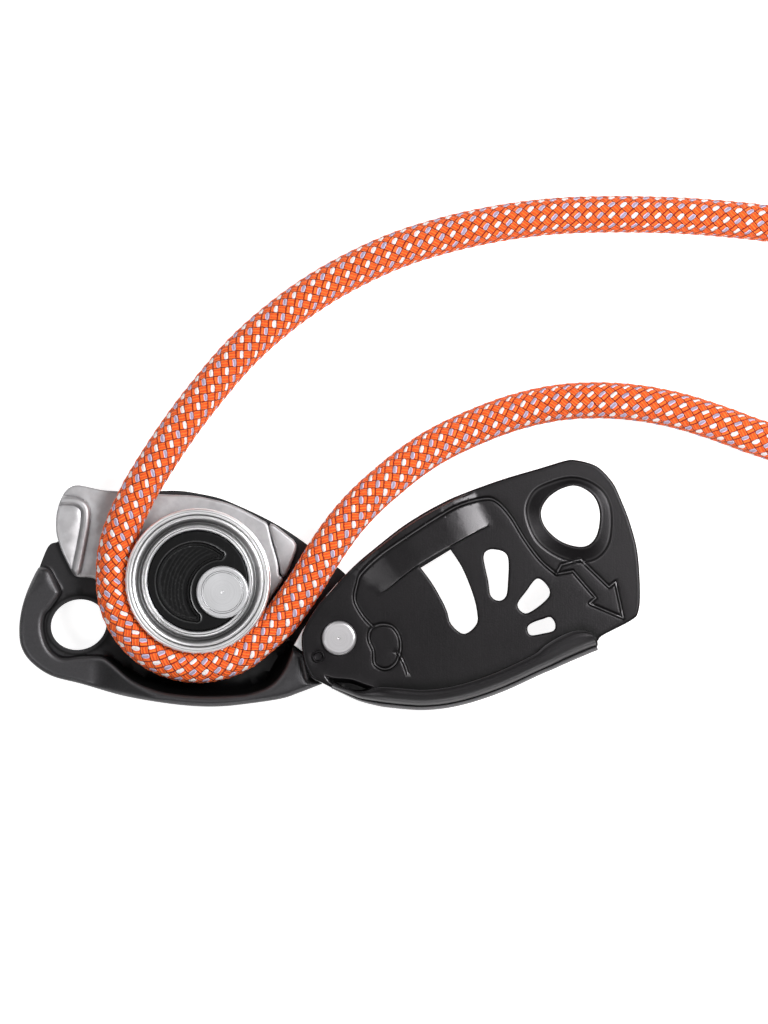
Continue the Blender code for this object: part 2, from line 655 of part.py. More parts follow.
def swing_pieces(m):
    finish = m["black_anodised"]
    holes = [
        smooth_loop(CARABINER_HOLE),
        *(smooth_loop(w, 2.6) for w in WINDOWS),
        circle(PIVOT, 3.7, SMALL_ROUND),
        circle(DETENT, 1.35, 16),
    ]
    plate = prism(
        "moving_side_plate", finish, smooth_loop(SWING_OUTLINE), SWING_BOTTOM, SWING_TOP,
        holes, 0.4, 1,
    )
    collar = prism(
        "collar", finish, smooth_loop(COLLAR_OUTLINE), SWING_TOP - 0.7, SWING_TOP + 0.8,
        [[(62.9 + (x - 62.9) * 1.03, 17.8 + (y - 17.8) * 1.03) for x, y in holes[0]]], 0.6, 1,
    )
    plate = combine(plate, [collar, bridge_strip(finish), rolled_lip(finish)], "UNION")
    bush = turned(
        "pivot_bush", m["bronze"], PIVOT,
        [(2.65, 26.45), (3.5, 26.45), (3.5, 28.55), (2.65, 28.55)], SMALL_ROUND,
    )
    pin = turned(
        "detent_pin", m["black_anodised"], DETENT,
        [(0, 26.0), (1.0, 26.0), (1.15, 26.2), (1.15, 28.75), (1.56, 28.75), (1.56, 29.1),
         (1.15, 29.3), (0.9, 28.9), (0, 28.9)],
        20,
    )
    return [plate, bush, pin]


# The release handle


def arm_pieces(m):
    finish = m["black_anodised"]
    groove = arc_slot(AXLE, PIN_ORBIT, PIN_R + 0.2, PIN_LOCKED - 1.5, PIN_REST + 1.7)
    arm = prism(
        "handle_arm", finish, belt(AXLE, HUB_R, KNUCKLE, KNUCKLE_R), ARM_BOTTOM, ARM_TOP,
        [circle(AXLE, 4.7, SMALL_ROUND), groove, circle(KNUCKLE, 2.2, 20)],
    )
    arm = combine(
        arm,
        [
            prism("pocket", finish, circle(AXLE, 6.6, SMALL_ROUND), 5.4, 9),
            prism("sink", finish, circle(KNUCKLE, 3.4, 24), 6.7, 9),
        ],
        "DIFFERENCE",
    )
    bush = turned(
        "handle_bush", m["bronze"], AXLE,
        [(AXLE_BUSH_R, 4.85), (4.55, 4.85), (4.55, 7.55), (AXLE_BUSH_R, 7.55)], SMALL_ROUND,
    )
    return [arm, bush]


def grip_outline():
    """The grip from above: a round knuckle, a waist and a rounder free end."""
    sides = [(9.0, 4.2), (17.0, 3.7), (27.0, 3.9)]  # distance from the knuckle, and half width

    def beside(reach, offset):
        x, y = polar(KNUCKLE, reach, GRIP_BEARING)
        return polar((x, y), offset, GRIP_BEARING + 90)

    return (
        arc(KNUCKLE, KNUCKLE_R, GRIP_BEARING + 70, GRIP_BEARING + 290, 15)
        + [beside(reach, -half) for reach, half in sides]
        + arc(GRIP_END, GRIP_END_R, GRIP_BEARING - 85, GRIP_BEARING + 85, 15)
        + [beside(reach, half) for reach, half in reversed(sides)]
    )


def grip_pieces(m):
    finish = m["handle_nylon"]
    grip = prism(
        "handle_grip", finish, grip_outline(), 0.0, GRIP_TOP, [circle(KNUCKLE, 2.2, 20)], 0.7
    )
    grip = combine(
        grip, [prism("sink", finish, circle(KNUCKLE, 3.4, 24), -1, 0.9)], "DIFFERENCE"
    )
    pin = turned(
        "handle_hinge_pin", m["bright_steel"], KNUCKLE,
        [(0, 0.3), (3.1, 0.3), (3.1, 0.75), (2.0, 0.75), (2.0, 6.85), (3.1, 6.85), (3.1, 7.4),
         (0, 7.4)],
        24,
    )
    washer = turned(
        "handle_hinge_washer", m["bronze"], KNUCKLE,
        [(2.2, 3.75), (4.6, 3.75), (4.6, 4.65), (2.2, 4.65)], 24,
    )
    return [grip, pin, washer]


# The rope

CLIMBER_ROUTE = [
    (133.0, 90.8, 4.9), (124.0, 92.8, 4.9), (114.1, 94.4, 4.9), (101.6, 95.7, 4.9),
    (91.2, 96.4, 4.9), (80.8, 96.7, 4.9), (70.5, 96.7, 4.9), (60.1, 96.3, 4.9),
    (49.7, 95.2, 4.9), (39.3, 93.4, 4.9), (28.9, 90.9, 4.9), (18.5, 87.6, 5.1),
    (8.1, 83.0, 5.6), (-2.3, 77.2, 6.7), (-12.7, 69.8, 8.7), (-23.1, 60.4, 11.6),
    (-33.4, 48.2, 15.0), (-41.1, 37.6, 17.3), (-47.7, 27.2, 18.9), (-50.5, 22.0, 19.3),
    (-52.9, 16.8, 19.6), (-54.7, 11.6, 19.6), (-55.7, 6.4, 19.6),
]
WRAP_RADIUS = 21.85
WRAP_START, WRAP_END = 186.0, 316.0
BRAKE_ROUTE = [
    (-12.8, -9.3, 19.6), (-8.9, -4.0, 19.6), (-5.4, 1.2, 19.6), (-2.3, 6.4, 19.6),
    (1.1, 11.6, 19.3), (5.0, 16.8, 18.3), (9.8, 22.0, 16.7), (15.4, 27.0, 14.7),
    (21.6, 32.0, 12.5), (28.9, 36.7, 10.2), (39.3, 41.6, 7.4), (49.7, 45.3, 5.6),
    (60.1, 47.5, 4.9), (70.5, 48.1, 4.9), (80.8, 47.4, 4.9), (91.2, 45.4, 4.9),
    (101.6, 42.2, 4.9), (112.0, 38.4, 4.9), (122.0, 35.6, 4.9), (132.0, 35.0, 4.9),
]


def rope_route():
    """The rope's free route, from its near end round the pulley to where the coil begins."""
    wrap = [
        (*polar(PULLEY, WRAP_RADIUS, WRAP_START + (WRAP_END - WRAP_START) * k / 9), ROPE_Z)
        for k in range(10)
    ]
    points = [Vector(p) for p in [*CLIMBER_ROUTE, *wrap, *BRAKE_ROUTE]]
    return [tuple(p) for p in spline_run(points, 1.0)] + [tuple(points[-1])]


def thinned(route, spacing):
    """The same route with its points about `spacing` apart."""
    out, gone = [route[0]], 0.0
    for a, b in zip(route, route[1:]):
        gone += (Vector(b) - Vector(a)).length
        if gone >= spacing:
            out.append(b)
            gone = 0.0
    return out


def rope_pieces(m):
    finish = m["rope_orange"]
    strand = tube("rope_strand", finish, thinned(rope_route(), 7.2), ROPE_D, 2)
    outer, inner = COIL_RADII[0] + ROPE_D / 2, COIL_RADII[1] - ROPE_D / 2
    low, high = 0.15, 0.15 + 2 * ROPE_D
    round_off = 3.0
    coil = turned(
        "rope_coil", finish, COIL_CENTRE,
        [(inner + round_off, low), (outer - round_off, low), (outer, low + round_off),
         (outer, high - round_off), (outer - round_off, high), (inner + round_off, high),
         (inner, high - round_off), (inner, low + round_off)],
        40,
    )
    return [strand, coil]


def main():
    clear_scene()
    m = make_materials()
    fixed_pieces(m)
    rope_pieces(m)
    swing = body("moving_plate", PIVOT)
    cam = body("cam", AXLE)
    wheel = body("wheel", PULLEY, cam)
    arm = body("handle_arm_body", AXLE)
    grip = body("handle_grip_body", KNUCKLE, arm)
    hang(swing, *swing_pieces(m))
    hang(cam, *cam_pieces(m))
    hang(wheel, *wheel_pieces(m))
    hang(arm, *arm_pieces(m))
    hang(grip, *grip_pieces(m))


main()
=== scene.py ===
"""Looks for the rope grab: its rope, its materials, and finer versions of the pieces that show.

Shapes are worked out in millimetres, in the CAD's own frame, and turned into metres by MM where a
mesh is made. X runs along the device, Y across it and Z up from the surface that it lies on.
"""

import json
import math

import bmesh
import bpy
import numpy as np
from mathutils import Matrix, Vector
from mathutils.geometry import delaunay_2d_cdt


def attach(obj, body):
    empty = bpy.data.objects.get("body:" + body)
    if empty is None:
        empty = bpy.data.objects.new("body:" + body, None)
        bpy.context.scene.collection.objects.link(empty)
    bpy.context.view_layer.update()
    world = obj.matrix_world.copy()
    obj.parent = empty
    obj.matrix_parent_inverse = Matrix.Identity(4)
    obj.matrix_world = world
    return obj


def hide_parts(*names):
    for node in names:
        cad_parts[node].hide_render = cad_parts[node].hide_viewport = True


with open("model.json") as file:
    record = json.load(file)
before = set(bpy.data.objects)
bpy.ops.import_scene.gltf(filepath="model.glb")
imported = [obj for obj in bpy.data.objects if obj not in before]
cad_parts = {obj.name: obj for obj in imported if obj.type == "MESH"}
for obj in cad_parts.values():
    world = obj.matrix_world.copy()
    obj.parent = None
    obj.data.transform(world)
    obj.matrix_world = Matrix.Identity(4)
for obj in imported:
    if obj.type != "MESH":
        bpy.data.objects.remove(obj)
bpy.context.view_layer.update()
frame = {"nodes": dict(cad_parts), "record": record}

NODES = frame["nodes"]
MM = 0.001

# Driving places, the same as the CAD's
ROPE_D, ROPE_Z = 9.5, 19.6
PIVOT, AXLE, PULLEY, DETENT = (2.7, -13.8), (-27.6, -1.9), (-34.0, 1.0), (-2.7, -18.6)
EYE = (-65.3, -10.5)
SWING_BOTTOM, SWING_TOP = 26.4, 28.6


# ---------------------------------------------------------------- outlines


def polar(centre, radius, degrees):
    angle = math.radians(degrees)
    return (centre[0] + radius * math.cos(angle), centre[1] + radius * math.sin(angle))


def spline_run(points, step, before=None, after=None):
    """Points along a Catmull-Rom curve through the points, without the last one."""
    ends = [before or points[0], *points, after or points[-1]]
    out = []
    for i in range(1, len(ends) - 2):
        p0, p1, p2, p3 = (Vector(p) for p in ends[i - 1 : i + 3])
        count = max(1, round((p2 - p1).length / step))
        for k in range(count):
            t = k / count
            point = 0.5 * (
                2 * p1
                + (p2 - p0) * t
                + (2 * p0 - 5 * p1 + 4 * p2 - p3) * t**2
                + (3 * p1 - p0 - 3 * p2 + p3) * t**3
            )
            out.append(tuple(point))
    return out


def smooth_loop(points, step=0.8):
    """A closed outline through (x, y) points, where a third value marks a sharp corner."""
    flat = [p[:2] for p in points]
    corners = [i for i, p in enumerate(points) if len(p) > 2]
    if not corners:
        return spline_run([*flat, flat[0]], step, flat[-1], flat[1])
    flat = flat[corners[0] :] + flat[: corners[0]]
    marks = [c - corners[0] for c in corners] + [len(flat)]
    flat.append(flat[0])
    out = []
    for a, b in zip(marks, marks[1:]):
        out += spline_run(flat[a : b + 1], step)
    return out


def circle(centre, radius, count=96):
    return [polar(centre, radius, 360 * k / count) for k in range(count)]


def arc(centre, radius, start, end, step=6):
    """Points along an arc from one bearing to another, about a step of degrees apart."""
    count = max(2, round(abs(end - start) / step))
    return [polar(centre, radius, start + (end - start) * k / count) for k in range(count + 1)]


# ---------------------------------------------------------------- meshes


def link(name, mesh, material, slot, body, *stands_for):
    """Puts a finished mesh in the scene on its body, with its material and the CAD nodes it hides."""
    made = bpy.data.objects.new(name, mesh)
    bpy.context.scene.collection.objects.link(made)
    mesh.materials.clear()
    mesh.materials.append(material)
    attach(made, body)
    if stands_for:
        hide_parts(*stands_for)
    return made


def smooth(mesh, degrees=35):
    mesh.shade_smooth()
    mesh.set_sharp_from_angle(angle=math.radians(degrees))
    return mesh


def mesh_from(edit, name, weld=1e-3):
    """A mesh from bmesh data in millimetres, welded unless weld is 0, with its faces pointing out."""
    if weld:
        bmesh.ops.remove_doubles(edit, verts=edit.verts, dist=weld)
    bmesh.ops.recalc_face_normals(edit, faces=edit.faces)
    edit.transform(Matrix.Scale(MM, 4))
    mesh = bpy.data.meshes.new(name)
    edit.to_mesh(mesh)
    edit.free()
    return mesh


def supported(profile, inset=0.04):
    """A closed profile with a point added near both ends of every longer side, so that smooth
    shading stays in the corners and the flats stay flat."""
    out = []
    for a, b in zip(profile, profile[1:] + profile[:1]):
        a, b = Vector(a[:2]), Vector(b[:2])
        out.append(tuple(a))
        along = b - a
        if along.length > 4 * inset and max(a.x, b.x) > 0:
            out.append(tuple(a + along.normalized() * inset))
            out.append(tuple(b - along.normalized() * inset))
    return out


def turned(name, centre, profile, count=160):
    """A turned mesh: a profile of (radius, height) in millimetres, spun about the centre."""
    edit = bmesh.new()
    profile = supported(profile)
    rings = []
    for radius, height in profile:
        if radius == 0:
            rings.append([edit.verts.new((*centre, height))] * count)
        else:
            rings.append(
                [edit.verts.new((x, y, height)) for x, y in circle(centre, radius, count)]
            )
    for lower, upper in zip(rings, rings[1:] + rings[:1]):
        for k in range(count):
            ring = [lower[k], lower[(k + 1) % count], upper[(k + 1) % count], upper[k]]
            corners = list(dict.fromkeys(ring))
            if len(corners) > 2:
                edit.faces.new(corners)
    return mesh_from(edit, name)


def rounded(profile, radius, steps=4):
    """A closed profile with every corner cut by a small arc; a third value is its own radius."""
    out = []
    count = len(profile)
    for i in range(count):
        here = Vector(profile[i][:2])
        back, ahead = Vector(profile[i - 1][:2]), Vector(profile[(i + 1) % count][:2])
        reach = profile[i][2] if len(profile[i]) > 2 else radius
        reach = min(reach, 0.45 * (back - here).length, 0.45 * (ahead - here).length)
        if here.x == 0 or reach <= 0:
            out.append(tuple(here))
            continue
        a = here + (back - here).normalized() * reach
        b = here + (ahead - here).normalized() * reach
        for k in range(steps + 1):
            t = k / steps
            out.append(tuple((1 - t) ** 2 * a + 2 * t * (1 - t) * here + t**2 * b))
    return out


def tube(edit, rows):
    """Joins equal rings of vertices, caps both ends, and gives back the faces along the tube."""
    count = len(rows[0])
    faces = [
        edit.faces.new((a[k], a[(k + 1) % count], b[(k + 1) % count], b[k]))
        for a, b in zip(rows, rows[1:])
        for k in range(count)
    ]
    edit.faces.new(rows[0])
    edit.faces.new(rows[-1])
    return faces


def swept(name, sections, marks):
    """A solid through equal closed sections of points, with each point's amount of painted highlight and
    painted shade.
    """
    edit = bmesh.new()
    layer = edit.verts.layers.float.new("painted_light_shade")
    rows = [[edit.verts.new(p) for p in section] for section in sections]
    for row in rows:
        for vert, painted_light_shade in zip(row, marks):
            vert[layer] = painted_light_shade
    tube(edit, rows)
    return mesh_from(edit, name)


# ---------------------------------------------------------------- relief plates


def to_line(points, line, closed=True):
    """Each point's distance to a line of points."""
    a = np.asarray([q[:2] for q in line], float)
    b = np.roll(a, -1, 0) if closed else a[1:]
    a = a if closed else a[:-1]
    d = b - a
    away = points[:, None, :] - a
    t = np.clip((away * d).sum(2) / np.maximum((d * d).sum(1), 1e-12), 0, 1)
    return np.sqrt(((away - t[..., None] * d) ** 2).sum(2)).min(1)


def inside(points, loop):
    """Whether each point lies in a closed outline."""
    a = np.asarray([q[:2] for q in loop], float)
    b = np.roll(a, -1, 0)
    x, y = points[:, 0:1], points[:, 1:2]
    crosses = (a[:, 1] > y) != (b[:, 1] > y)
    rise = np.where(b[:, 1] == a[:, 1], 1e-9, b[:, 1] - a[:, 1])
    at = a[:, 0] + (y - a[:, 1]) * (b[:, 0] - a[:, 0]) / rise
    return (crosses & (x < at)).sum(1) % 2 == 1


def beside(line, offset, closed=True):
    """A closed outline moved inward by an offset, or an open line moved to its left."""
    a = np.asarray([q[:2] for q in line], float)
    if closed:
        along = np.roll(a, -1, 0) - np.roll(a, 1, 0)
        if (a[:, 0] * np.roll(a[:, 1], -1) - a[:, 1] * np.roll(a[:, 0], -1)).sum() < 0:
            along = -along
    else:
        along = np.gradient(a, axis=0)
    along /= np.maximum(np.linalg.norm(along, axis=1, keepdims=True), 1e-9)
    return a + offset * np.stack([-along[:, 1], along[:, 0]], 1)


def hex_grid(low, high, pitch):
    xs = np.arange(low[0], high[0], pitch)
    ys = np.arange(low[1], high[1], pitch * 0.866)
    gx, gy = np.meshgrid(xs, ys)
    gx = gx + (np.arange(len(ys)) % 2)[:, None] * pitch / 2
    return np.stack([gx.ravel(), gy.ravel()], 1)


def drop(distance, radius):
    """How far a rounded-over edge of that radius falls, at a distance in from the edge."""
    left = radius - np.minimum(distance, radius)
    return radius - np.sqrt(np.maximum(radius**2 - left**2, 0))


def bell(distance, width, centre=0.0):
    """A smooth ridge of height 1 where the distance is centre, falling off over the width."""
    return np.exp(-(((distance - centre) / width) ** 2))


def ease(value):
    value = np.clip(value, 0, 1)
    return value * value * (3 - 2 * value)


def relief_plate(name, solids, holes, guides, top, bottom, pitch=1.6, marks=None):
    """A plate whose two faces are height functions: its outlines, its holes, and guide rows of
    points, each (line, offsets, closed), where the height changes quickly."""
    loops = [*solids, *holes]
    points, edges = [], []
    for loop in loops:
        start = len(points)
        points += [tuple(q[:2]) for q in loop]
        edges += [(start + k, start + (k + 1) % len(loop)) for k in range(len(loop))]
    for line, offsets, closed in guides:
        for offset in offsets:
            if offset == 0:
                start = len(points)
                points += [tuple(q[:2]) for q in line]
                last = len(line) if closed else len(line) - 1
                edges += [(start + k, start + (k + 1) % len(line)) for k in range(last)]
    fixed = np.asarray(points, float)
    rows = [beside(line, o, closed) for line, offs, closed in guides for o in offs if o]
    extra = np.concatenate(rows) if rows else np.zeros((0, 2))
    low, high = fixed.min(0), fixed.max(0)
    grid = hex_grid(low, high, pitch)
    near = np.concatenate([fixed, extra]) if len(extra) else fixed
    keep = np.ones(len(grid), bool)
    for start in range(0, len(grid), 500):
        part = grid[start : start + 500]
        gap = np.sqrt(((part[:, None, :] - near) ** 2).sum(2)).min(1)
        keep[start : start + 500] = gap > 0.55 * pitch
    cloud = np.concatenate([fixed, extra, grid[keep]])
    found = delaunay_2d_cdt([Vector(q) for q in cloud], edges, [], 0, 1e-4, False)
    flat = np.asarray([tuple(v) for v in found[0]], float)
    faces = np.asarray(found[2], int)
    middle = flat[faces].mean(1)
    inner = np.zeros(len(middle), bool)
    for loop in solids:
        inner |= inside(middle, loop)
    for loop in holes:
        inner &= ~inside(middle, loop)
    faces = faces[inner]
    used = np.unique(faces)
    number = {int(v): k for k, v in enumerate(used)}
    flat = flat[used]
    high_z, low_z = top(flat), bottom(flat)
    edit = bmesh.new()
    # each top vertex's painted highlight (above 0) and painted shade (below 0), which the metal paints
    # read
    layer = edit.verts.layers.float.new("painted_light_shade")
    value = marks(flat) if marks else np.zeros(len(flat))
    uppers = [edit.verts.new((x, y, z)) for (x, y), z in zip(flat, high_z)]
    lowers = [edit.verts.new((x, y, z)) for (x, y), z in zip(flat, low_z)]
    for vert, painted_light_shade in zip(uppers, value):
        vert[layer] = painted_light_shade
    sides = {}
    for face in faces:
        a, b, c = (number[int(v)] for v in face)
        edit.faces.new((uppers[a], uppers[b], uppers[c]))
        edit.faces.new((lowers[c], lowers[b], lowers[a]))
        for pair in ((a, b), (b, c), (c, a)):
            sides[pair] = 1
    for a, b in sides:
        if (b, a) not in sides:
            edit.faces.new((uppers[b], uppers[a], lowers[a], lowers[b]))
    return mesh_from(edit, name, 1e-5)


# ---------------------------------------------------------------- materials


def srgb(*levels):
    """A colour given as levels out of 255, as the linear colour that a shader takes."""
    parts = [v / 255 for v in levels]
    return tuple(p / 12.92 if p <= 0.04045 else ((p + 0.055) / 1.055) ** 2.4 for p in parts) + (1,)


class Paint:
    """A node material under construction: each call adds a node and gives back its output."""

    def __init__(self, name, **shader):
        self.material = bpy.data.materials.new(name)
        self.material.use_nodes = True
        self.tree = self.material.node_tree
        self.shader = self.tree.nodes["Principled BSDF"]
        for socket, value in shader.items():
            self.put(self.shader.inputs[socket.replace("_", " ")], value)

    def put(self, socket, value):
        if isinstance(value, bpy.types.NodeSocket):
            self.tree.links.new(value, socket)
        elif isinstance(value, tuple) and socket.type == "RGBA" and len(value) == 3:
            socket.default_value = (*value, 1)
        else:
            socket.default_value = value

    def node(self, kind, out=0, inputs=(), **settings):
        made = self.tree.nodes.new("ShaderNode" + kind)
        for key, value in settings.items():
            setattr(made, key, value)
        for key, value in dict(inputs).items():
            self.put(made.inputs[key], value)
        return made.outputs[out]

    def math(self, operation, *values):
        return self.node("Math", inputs=enumerate(values), operation=operation)

    def plus(self, a, b):
        return self.math("ADD", a, b)

    def minus(self, a, b):
        return self.math("SUBTRACT", a, b)

    def times(self, a, b):
        return self.math("MULTIPLY", a, b)

    def absolute(self, value):
        return self.math("ABSOLUTE", value)

    def mix(self, factor, a, b, mode="MIX"):
        return self.node("Mix", 2, {0: factor, 6: a, 7: b}, data_type="RGBA", blend_type=mode)

    def ramp(self, value, low, high, to_low=0.0, to_high=1.0):
        """Value taken from low..high onto to_low..to_high, and held at the ends."""
        inputs = {0: value, 1: low, 2: high, 3: to_low, 4: to_high}
        return self.node("MapRange", inputs=inputs, interpolation_type="SMOOTHSTEP")

    def noise(self, scale, detail=3.0, roughness=0.55, vector=None, out=0):
        inputs = {"Scale": scale, "Detail": detail, "Roughness": roughness}
        inputs["Vector"] = vector if vector is not None else self.place()
        return self.node("TexNoise", out, inputs)

    def place(self):
        return self.node("TexCoord", 3)

    def stretched(self, x, y, z, turn=0.0):
        """Object coordinates scaled along each axis, for brushed and grained finishes."""
        inputs = {"Vector": self.place(), "Rotation": (0, 0, turn), "Scale": (x, y, z)}
        return self.node("Mapping", inputs=inputs)

    def bump(self, height, strength, distance, normal=None):
        inputs = {"Height": height, "Strength": strength, "Distance": distance}
        if normal is not None:
            inputs["Normal"] = normal
        return self.node("Bump", inputs=inputs)

    def finish(self, **sockets):
        for socket, value in sockets.items():
            self.put(self.shader.inputs[socket.replace("_", " ")], value)
        return self.material


CELL = 3.0  # millimetres of rope between one over-crossing and the next, along the rope
ROWS = 10  # over-crossings round the rope


def braid_paint():
    """Sheath yarns: flecked carriers one way, plain orange ones the other, one over and one under."""
    p = Paint("rope_sheath", Roughness=0.78, Sheen_Weight=0.04, Sheen_Roughness=0.5)
    u, v = (
        p.node("SeparateXYZ", out, {0: p.node("UVMap", uv_map="braid")}) for out in (0, 1)
    )
    sway = p.noise(420.0, 2.0)
    u = p.plus(u, p.times(p.minus(sway, 0.5), 0.16))
    v = p.plus(v, p.times(p.minus(p.noise(510.0, 2.0), 0.5), 0.16))
    cell_u, cell_v = p.math("ROUND", u), p.math("ROUND", v)
    du, dv = p.minus(u, cell_u), p.minus(v, cell_v)
    reach = p.plus(p.absolute(du), p.absolute(dv))
    over = p.math("LESS_THAN", reach, 0.5)
    # along and across the yarns of the flecked carrier, and of the plain one between them
    along, across = p.plus(du, dv), p.minus(dv, du)
    hu = p.minus(p.math("FRACT", u), 0.5)
    hv = p.minus(p.math("FRACT", v), 0.5)
    plain_along, plain_across = p.minus(hu, hv), p.plus(hu, hv)
    # the fleck: a short rounded stitch on one side of the carrier
    off = p.minus(across, 0.25)
    fleck_long = p.math("POWER", p.math("DIVIDE", p.absolute(along), 0.47), 4.0)
    fleck_wide = p.math("POWER", p.math("DIVIDE", p.absolute(off), 0.24), 3.0)
    fleck_in = p.ramp(p.plus(fleck_long, fleck_wide), 1.35, 0.8)
    fleck = p.times(fleck_in, over)
    odd = p.math("PINGPONG", p.plus(cell_u, cell_v), 1.0)
    core = p.times(p.ramp(fleck_wide, 0.3, 0.05), p.ramp(fleck_long, 0.6, 0.3))
    lilac = p.mix(core, srgb(214, 202, 226), srgb(150, 140, 168))
    white = p.mix(core, srgb(246, 240, 242), srgb(232, 226, 222))
    fleck_colour = p.mix(odd, white, lilac)
    # ribs and shade between the yarns
    fine = p.noise(2600.0, 2.0)
    slow = p.noise(240.0, 2.0)
    rib_over = p.math("COSINE", p.times(p.minus(across, 0.25), 4 * math.pi))
    rib_plain = p.math("COSINE", p.times(plain_across, 5 * math.pi))
    rib = p.node("Mix", 0, {0: over, 2: rib_plain, 3: rib_over})
    edge_over = p.math("MAXIMUM", p.absolute(along), p.absolute(across))
    edge_plain = p.math(
        "MAXIMUM", p.absolute(plain_along), p.absolute(plain_across)
    )
    edge = p.node("Mix", 0, {0: over, 2: edge_plain, 3: edge_over})
    bright = p.mix(p.ramp(rib, -0.6, 0.8), srgb(230, 76, 8), srgb(252, 122, 32))
    bright = p.mix(p.ramp(slow, 0.35, 0.65, 0.0, 0.35), bright, srgb(238, 92, 22))
    bright = p.mix(p.ramp(fine, 0.3, 0.7, 0.3, 0.0), bright, srgb(205, 150, 120), "MULTIPLY")
    seam = p.ramp(edge, 0.39, 0.49)
    orange = p.mix(seam, bright, srgb(128, 16, 0))
    fleck_shade = p.mix(p.ramp(fine, 0.35, 0.7, 0.25, 0.0), fleck_colour, srgb(176, 160, 170))
    colour = p.mix(fleck, orange, fleck_shade)
    height = p.minus(p.times(rib, 0.35), seam)
    height = p.plus(height, p.times(fine, 0.25))
    return p.finish(Base_Color=colour, Normal=p.bump(height, 0.8, 0.00028))


def clouded(p, colour, grain, light, dark, scale, amount):
    """A colour's lighter and darker tones along a grain, under clouds of the darker one. Gives back
    the clouds and the tone."""
    pale = tuple(min(1.0, c * light) for c in colour[:3]) + (1,)
    deep = tuple(c * dark for c in colour[:3]) + (1,)
    cloud = p.noise(scale, 3.0)
    tone = p.mix(p.ramp(grain, 0.3, 0.7), deep, pale)
    return cloud, p.mix(p.ramp(cloud, 0.35, 0.7, 0.0, amount), tone, deep)


def finish_metal(p, tone, roughness, cloud, height, depth):
    rough = p.plus(roughness - 0.05, p.times(cloud, 0.12))
    return p.finish(Base_Color=tone, Roughness=rough, Normal=p.bump(height, depth, 0.00003))


def metal_paint(
    name, colour, roughness, metallic=1.0, grain=(900, 60, 900), wear=0.12, depth=0.3
):  # fmt: skip
    """A metal with a directional grain, cloudy gloss and fine scratches, lightened as painted highlight
    and darkened as painted shade wherever its mesh carries painted light values.
    """
    p = Paint(name, Metallic=metallic)
    grain_noise = p.noise(1.0, 3.0, 0.6, p.stretched(*grain))
    cloud, tone = clouded(p, colour, grain_noise, 1.08, 0.9, 90.0, 0.3)
    scratch = p.noise(1.0, 2.0, 0.5, p.stretched(2600, 90, 900, 0.6))
    tone = p.mix(p.ramp(scratch, 0.68, 0.8, 0.0, wear), tone, srgb(215, 215, 218))
    # Painted light: above 0 the attribute lifts the tone towards a pale colour as a painted highlight,
    # below 0 it sinks the tone to near black as painted shade.
    painted_light_shade = p.node("Attribute", 2, attribute_type="GEOMETRY", attribute_name="painted_light_shade")
    pale = tuple(min(1.0, c * 4 + 0.12) for c in colour[:3])
    tone = p.mix(p.math("MAXIMUM", painted_light_shade, 0.0), tone, pale)
    deep = p.math("MAXIMUM", p.times(painted_light_shade, -1.0), 0.0)
    tone = p.mix(deep, tone, tuple(c * 0.08 for c in colour[:3]))
    return finish_metal(p, tone, roughness, cloud, p.plus(grain_noise, p.times(scratch, 0.4)), depth)


def turned_paint(
    name, colour, roughness, centre, pitch=0.25, metallic=0.85, depth=0.12, painted_shade_rings=()
):
    """A turned metal, with fine rings about a centre given in millimetres. Each darker ring is painted
    shade laid over a ring of the face, such as the pulley's dish and the grooves of the face: its radius,
    half its width and how dark it is."""
    p = Paint(name, Metallic=metallic)
    middle = (centre[0] * MM, centre[1] * MM, 0)
    away = p.node("VectorMath", inputs={0: p.place(), 1: middle}, operation="SUBTRACT")
    x, y = (p.node("SeparateXYZ", out, {0: away}) for out in (0, 1))
    radius = p.math("SQRT", p.plus(p.times(x, x), p.times(y, y)))
    ring = p.node("CombineXYZ", inputs={0: p.times(radius, 1000 / pitch)})
    rings = p.noise(1.0, 3.0, 0.7, ring)
    cloud, tone = clouded(p, colour, rings, 1.07, 0.91, 120.0, 0.25)
    for band, half, level in painted_shade_rings:
        off = p.absolute(p.minus(radius, band * MM))
        # painted shade: the tone darkens towards near black across each ring
        tone = p.mix(p.ramp(off, half * MM, 0.0, 0.0, level), tone, srgb(12, 12, 13))
    return finish_metal(p, tone, roughness, cloud, rings, depth)


def nylon_paint():
    p = Paint("moulded_nylon", Roughness=0.5, Coat_Weight=0.05)
    grain = p.noise(1500.0, 2.0)
    cloud = p.noise(60.0, 3.0)
    tone = p.mix(p.ramp(cloud, 0.3, 0.7), srgb(30, 30, 32), srgb(44, 44, 47))
    rough = p.plus(0.42, p.times(grain, 0.25))
    return p.finish(Base_Color=tone, Roughness=rough, Normal=p.bump(grain, 0.35, 0.00008))


def sleeve_paint():
    p = Paint("shrink_sleeve", Roughness=0.4, Coat_Weight=0.1)
    grain = p.noise(700.0, 3.0)
    tone = p.mix(p.ramp(grain, 0.3, 0.7), srgb(24, 24, 26), srgb(40, 40, 43))
    return p.finish(Base_Color=tone, Normal=p.bump(grain, 0.3, 0.0001))


def webbing_paint():
    """Woven hook and loop tape: ribs across the strap."""
    p = Paint("tie_webbing", Roughness=0.85, Sheen_Weight=0.3)
    place = p.stretched(1500, 1500, 1500)
    weave = p.node("TexWave", 1, {"Vector": place, "Scale": 1.0, "Distortion": 1.5})
    tone = p.mix(weave, srgb(20, 20, 22), srgb(52, 52, 56))
    return p.finish(Base_Color=tone, Normal=p.bump(weave, 0.5, 0.0002))


